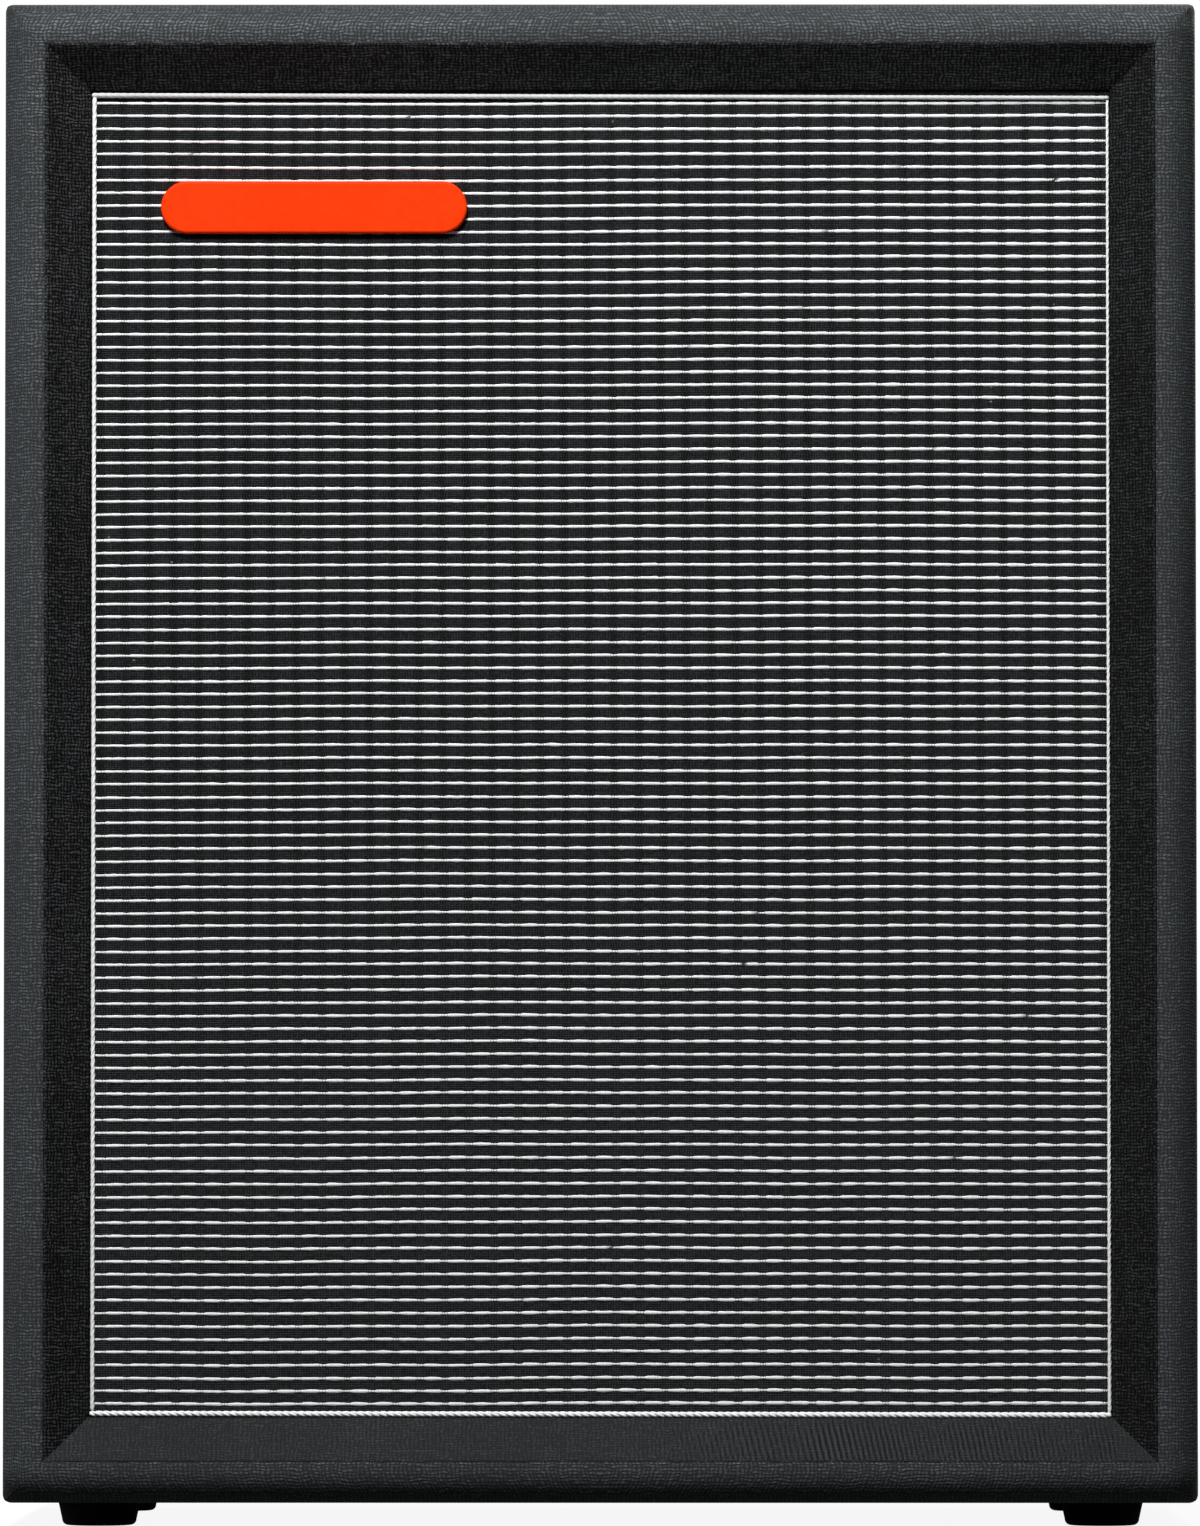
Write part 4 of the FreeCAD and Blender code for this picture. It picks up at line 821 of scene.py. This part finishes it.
def grid_mesh(name, points):
    """Open sheet from an array of (columns, rows, 3)."""
    columns, rows, _ = points.shape
    index = np.arange(columns * rows).reshape(columns, rows)
    near, far = index[:-1], index[1:]
    quads = np.stack([near[:, :-1], far[:, :-1], far[:, 1:], near[:, 1:]], axis=-1).reshape(-1, 4)
    mesh = bpy.data.meshes.new(name)
    mesh.from_pydata(points.reshape(-1, 3).tolist(), [], quads.tolist())
    return mesh


def thickened(piece, thickness):
    """Gives a sheet its thickness, away from its face."""
    skin = piece.modifiers.new("thickness", "SOLIDIFY")
    skin.thickness = thickness
    skin.offset = -1.0
    return piece


def grille_cloth(finishes):
    """Stretched grille cloth with its white lines and their binders, in place of the plain sheet."""
    x = np.linspace(cloth_low.x, cloth_high.x, cloth_columns)
    z = np.linspace(cloth_low.z, cloth_high.z, cloth_rows)
    points = np.empty((len(x), len(z), 3))
    points[..., 0] = x[:, None]
    points[..., 1] = cloth_front + cloth_ripple * np.sin(x[:, None] / 0.031) * np.sin(z[None, :] / 0.043)
    points[..., 2] = z[None, :]
    name = "woven_grille_cloth"
    cloth = new_piece(name, grid_mesh(name, points), finishes["grille_weave"])
    thickened(cloth, cloth_high.y - cloth_low.y - cloth_clearance)
    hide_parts("grille_cloth")
    white, black = white_yarn(), black_yarn()
    heights = line_heights()
    half = line_count // 2
    starts = repeat_starts()
    middle = len(starts) // 2
    threads = [
        white_lines("white_lines_upper", heights[:half], 11, white),
        white_lines("white_lines_lower", heights[half:], 12, white),
        binder_ends("binder_ends_left", starts[:middle], heights, 13, black),
        binder_ends("binder_ends_right", starts[middle:], heights, 14, black),
    ]


def laid_strands(start, end, radii, roundness):
    """Rings of the strands of one straight length of piping; a rounder lay shows smaller lumps."""
    first, last = radii
    run = np.array(end) - np.array(start)
    length = np.linalg.norm(run)
    along = run / length
    outward = np.array((0.0, -1.0, 0.0))
    aside = np.cross(along, outward)
    travel = np.linspace(0.0, length, int(length / strand_step) + 1)
    near_end = np.minimum(travel, length - travel) / piping_radius
    radius = first + (last - first) * (travel / length)
    taper = radius * np.sqrt(np.clip(end_taper + near_end, end_taper, 1.0))
    around = -np.arange(strand_sides) * FULL_TURN / strand_sides
    strands = []
    for strand in range(strand_count):
        turn = FULL_TURN * (travel / lay_length + strand / strand_count)
        reach = ((1.0 - roundness) * taper)[:, None]
        sway = reach * (np.cos(turn)[:, None] * outward + np.sin(turn)[:, None] * aside)
        centre = np.array(start) + travel[:, None] * along + sway
        ring = np.cos(around)[:, None] * outward + np.sin(around)[:, None] * aside
        thickness = (roundness * strand_swell * taper)[:, None, None]
        strands.append(centre[:, None, :] + thickness * ring[None, :, :])
    return np.stack(strands)


def grille_piping(finishes):
    """Four lengths of laid cord round the cloth; the top and bottom ones run over the ends of the sides.

    The top and right ones are drawn tighter into the corner between cloth and bevel, so they show thinner.
    The top one is painted greyer, as the shade of the top bevel over it.
    """
    edge = piping_x + piping_radius
    sunk_top = piping_radius - thin_top
    sunk_right = piping_radius - thin_right
    top_y, right_y = piping_y + sunk_top, piping_y + sunk_right
    top_z, right_x = piping_top + sunk_top, piping_x + sunk_right
    side_low, side_high = piping_bottom + side_gap, piping_top - side_gap
    white = finishes["piping_cord"]
    # Painted shade: the top cord's greyer tones stand for the shadow of the top bevel over it.
    top_cord_painted_shade = laid_cord("top_piping_cord_painted_shade", (0.50, 0.505, 0.51), (0.70, 0.705, 0.71))
    # Each length: its two ends, its radius at both, how round its lay is, and its finish
    lengths = {
        "piping_top": (
            (-edge, top_y, top_z - top_left_drop),
            (edge, top_y, top_z - top_right_drop),
            (1.2 * thin_top, thin_top),
            0.74,
            top_cord_painted_shade,
        ),
        "piping_bottom": (
            (-edge, piping_y, piping_bottom),
            (edge, piping_y, piping_bottom - bottom_right_drop),
            (1.08 * piping_radius, 1.16 * piping_radius),
            0.55,
            white,
        ),
        "piping_left": (
            (-piping_x, piping_y, side_low),
            (-piping_x, piping_y, side_high),
            (0.8 * piping_radius, 0.85 * piping_radius),
            0.62,
            white,
        ),
        "piping_right": (
            (right_x, right_y, side_low - right_length_drop),
            (right_x, right_y, side_high),
            (1.25 * thin_right, 0.95 * thin_right),
            0.66,
            white,
        ),
    }
    for name, (start, end, radii, roundness, finish) in lengths.items():
        strands = laid_strands(start, end, radii, roundness)
        cord = new_piece(name, tube_mesh(name, strands), finish)
        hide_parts("grille_piping")


def pulled_vinyl(travel, share, length):
    """How far the bottom bevel's covering is pulled in at its right: 1 in a furrow, below 0 on a crest."""
    part = travel / length
    slanted = travel + pull_slant * (1.5 - part) * share
    closer = 0.85 + 0.3 * slanted / length
    ribs = np.cos(FULL_TURN * slanted * closer / pull_spacing + 2.2 * np.sin(slanted / 0.017))
    where = np.clip((part - pull_from) / 0.2, 0.0, 1.0) * np.clip((pull_to - part) / 0.03, 0.0, 1.0)
    uneven = 0.8 + 0.2 * np.sin(travel / 0.023 + 1.0) * np.sin(travel / 0.0071)
    across = np.clip(share / 0.06, 0.0, 1.0) * np.clip((1.0 - share) / 0.35, 0.0, 1.0) ** 0.5
    furrows = np.clip(ribs, 0.0, 1.0) ** 2
    crests = crest_share * np.clip(-ribs, 0.0, 1.0)
    return (furrows - crests) * where * uneven * across


def bevel_strip(name, corner, along, inward, length, finish, pulled):
    """One side of the bevelled frame's covering, mitred at both ends."""
    depth = mouth_high.y - case_low.y - bevel_lip - rim_tuck_depth
    across = bevel_width + rim_tuck
    share = np.concatenate([np.linspace(0.0, 1.0, bevel_rows), [1.0]])
    drop = np.concatenate([np.linspace(0.0, depth, bevel_rows), [depth + bevel_lip]])
    inset = share * across - rim_tuck
    columns = int(length / bevel_step)
    spot = np.linspace(0.0, 1.0, columns)[:, None]
    travel = inset[None, :] + spot * (length - 2 * inset[None, :])
    slope = math.hypot(across, depth)
    lift = bevel_ripple * np.sin(travel / 0.029 + 2.0 * share) * np.sin(math.pi * share)
    furrow = pulled_vinyl(travel, share[None, :], length) if pulled else np.zeros(travel.shape)
    lift = lift - pull_depth * furrow
    inward, along, backward = np.array(inward), np.array(along), np.array((0.0, 1.0, 0.0))
    face = inward * depth / slope - backward * across / slope
    points = np.array(corner) + travel[..., None] * along + inset[None, :, None] * inward
    points = points + (rim_tuck_depth + drop)[None, :, None] * backward + lift[..., None] * face
    if np.cross(along, inward)[1] < 0:
        points, furrow = points[:, ::-1], furrow[:, ::-1]
    mesh = grid_mesh(name, points)
    values = mesh.attributes.new(FURROW, "FLOAT", "POINT").data
    values.foreach_set("value", furrow.astype(np.float32).ravel())
    return thickened(new_piece(name, mesh, finish), bevel_skin)


def bevel_covering():
    """Vinyl over the four bevels, with its mitres and the pulls in the bottom one; each side's tones are
    painted light and shade on the one vinyl.
    """
    x0, _, z0 = mouth_low
    x1, _, z1 = mouth_high
    y0 = case_low.y
    right, left, up, down = (1, 0, 0), (-1, 0, 0), (0, 0, 1), (0, 0, -1)
    # Each side: its first corner, the way it runs, the way in, its length, and the vinyl's tones and shine;
    # the tones differ by side as painted light and shade
    sides = {
        "bottom": (
            (x0, y0, z0), right, up, x1 - x0,
            (0.0120, 0.0130, 0.0140), (0.0340, 0.0360, 0.0385), 0.15,
        ),
        "top": (
            (x0, y0, z1), right, down, x1 - x0,
            (0.0040, 0.0043, 0.0046), (0.1050, 0.1100, 0.1180), 0.15,
        ),
        "left": (
            (x0, y0, z0), up, right, z1 - z0,
            (0.0012, 0.0013, 0.0014), (0.0700, 0.0730, 0.0780), 0.12,
        ),
        "right": (
            (x1, y0, z0), up, left, z1 - z0,
            (0.0012, 0.0013, 0.0014), (0.0380, 0.0398, 0.0425), 0.12,
        ),
    }
    # Each side gets its own copy of the vinyl, made lighter or darker as painted light and shade.
    for side, (corner, along, inward, length, painted_light_gap, painted_light_nub, shine) in sides.items():
        finish = black_vinyl(side + "_bevel_vinyl", sloped_place, painted_light_gap, painted_light_nub, shine)
        strip = bevel_strip("bevel_vinyl_" + side, corner, along, inward, length, finish, side == "bottom")
        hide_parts("bevel_covering")


def flexing_copy(name, node, finishes):
    """Copy of a flexible part that joins the case to a moving cone, with its slot's finish, in place of the
    frame's node.
    """
    source = nodes[node]
    piece = bpy.data.objects.new(name, source.data.copy())
    piece.matrix_world = source.matrix_world
    bpy.context.scene.collection.objects.link(piece)
    slot = next(row["material_slot"] for row in record["subparts"] if row["node"] == node)
    piece.data.materials.clear()
    piece.data.materials.append(finishes[slot])
    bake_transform(piece)
    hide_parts(node)
    return piece


def flexing_parts(finishes):
    """Copies of the surrounds, spiders and tinsel leads that join the cones to the case."""
    for speaker in ("upper", "lower"):
        leads = speaker + "_tinsel_leads"
        flexing_copy(speaker + "_flexing_leads", leads, finishes)
        for ring, (cone_glue, basket_glue) in glue_widths.items():
            node = f"{speaker}_{ring}"
            piece = flexing_copy(f"{speaker}_flexing_{ring}", node, finishes)


def dress_frame(finishes):
    """Puts the finishes on the frame's own nodes."""
    for row in record["subparts"]:
        node = nodes[row["node"]]
        for place in node.material_slots:
            place.material = finishes[row["material_slot"]]


# Studio

def pale_floor():
    """Wide pale floor that keeps the cabinet's shadow and fades to white away from it."""
    material = bpy.data.materials.new("pale_floor")
    material.use_nodes = True
    material.node_tree.nodes.clear()
    tree = Tree(material.node_tree)
    ray = tree.add("ShaderNodeLightPath").outputs
    colour = tree.blend(ray["Is Camera Ray"], floor_bounce, floor_colour)
    paint = tree.add("ShaderNodeBsdfDiffuse", {"Color": colour})
    seen = tree.math("MAXIMUM", ray["Is Camera Ray"], ray["Is Transmission Ray"])
    seen = tree.math("MAXIMUM", seen, tree.math("MULTIPLY", ray["Is Glossy Ray"], glossy_share))
    spot = tree.add("ShaderNodeNewGeometry").outputs["Position"]
    away = tree.add("ShaderNodeVectorMath", {0: spot}, operation="LENGTH").outputs["Value"]
    glow = tree.span(away, glow_near, glow_far, floor_glow, 1.0)
    light = tree.add("ShaderNodeEmission", {"Strength": tree.math("MULTIPLY", seen, glow)})
    both = tree.add("ShaderNodeAddShader", {0: paint.outputs[0], 1: light.outputs[0]})
    output = tree.add("ShaderNodeOutputMaterial")
    tree.feed(output.inputs["Surface"], both.outputs[0])
    half = floor_size / 2
    mesh = bpy.data.meshes.new("floor")
    corners = [(-half, -half, 0), (half, -half, 0), (half, half, 0), (-half, half, 0)]
    mesh.from_pydata(corners, [], [(0, 1, 2, 3)])
    mesh.materials.append(material)
    floor = bpy.data.objects.new("floor", mesh)
    bpy.context.scene.collection.objects.link(floor)


def white_surroundings():
    """World that shows white, with a dim studio in front of the cabinet and a soft light all round."""
    world = bpy.data.worlds.new("studio")
    world.use_nodes = True
    world.node_tree.nodes.clear()
    tree = Tree(world.node_tree)
    ray = tree.add("ShaderNodeLightPath").outputs
    _, rearward, _ = tree.split(tree.add("ShaderNodeTexCoord").outputs["Generated"])
    mirrored = tree.span(rearward, dim_side, bright_side, ambient, mirrored_white)
    seen = tree.math("MAXIMUM", ray["Is Camera Ray"], ray["Is Transmission Ray"])
    seen = tree.math("MAXIMUM", seen, tree.math("MULTIPLY", ray["Is Glossy Ray"], mirrored))
    strength = tree.math("MAXIMUM", seen, ambient)
    background = tree.add("ShaderNodeBackground", {"Color": (1.0, 1.0, 1.0, 1.0), "Strength": strength})
    output = tree.add("ShaderNodeOutputWorld")
    tree.feed(output.inputs["Surface"], background.outputs[0])
    bpy.context.scene.world = world


def soft_light(name, place, width, height, power):
    """Large soft light that faces the middle of the cabinet."""
    lamp = bpy.data.lights.new(name, "AREA")
    lamp.shape = "RECTANGLE"
    lamp.size = width
    lamp.size_y = height
    lamp.energy = power
    light = bpy.data.objects.new(name, lamp)
    light.location = place
    light.rotation_euler = (case_centre - Vector(place)).to_track_quat("-Z", "Y").to_euler()
    light.visible_camera = False
    bpy.context.scene.collection.objects.link(light)


def photo_camera():
    """Long lens, low in front of the cabinet and looking a little up."""
    data = bpy.data.cameras.new("camera")
    data.sensor_width = sensor_long_side
    data.lens = sensor_long_side * camera_distance / view_height
    camera = bpy.data.objects.new("camera", data)
    camera.location = (camera_side, case_low.y - camera_distance, camera_height)
    target = Vector((0.0, case_low.y, view_middle_z))
    camera.rotation_euler = (target - camera.location).to_track_quat("-Z", "Y").to_euler()
    data.clip_end = 10 * floor_size
    bpy.context.scene.collection.objects.link(camera)
    bpy.context.scene.camera = camera


finishes = all_finishes()
dress_frame(finishes)
grille_cloth(finishes)
grille_piping(finishes)
bevel_covering()
flexing_parts(finishes)

pale_floor()
white_surroundings()
for name, (place, width, height, power) in lights.items():
    soft_light(name, place, width, height, power)
photo_camera()
bpy.context.scene.view_settings.view_transform = "Standard"
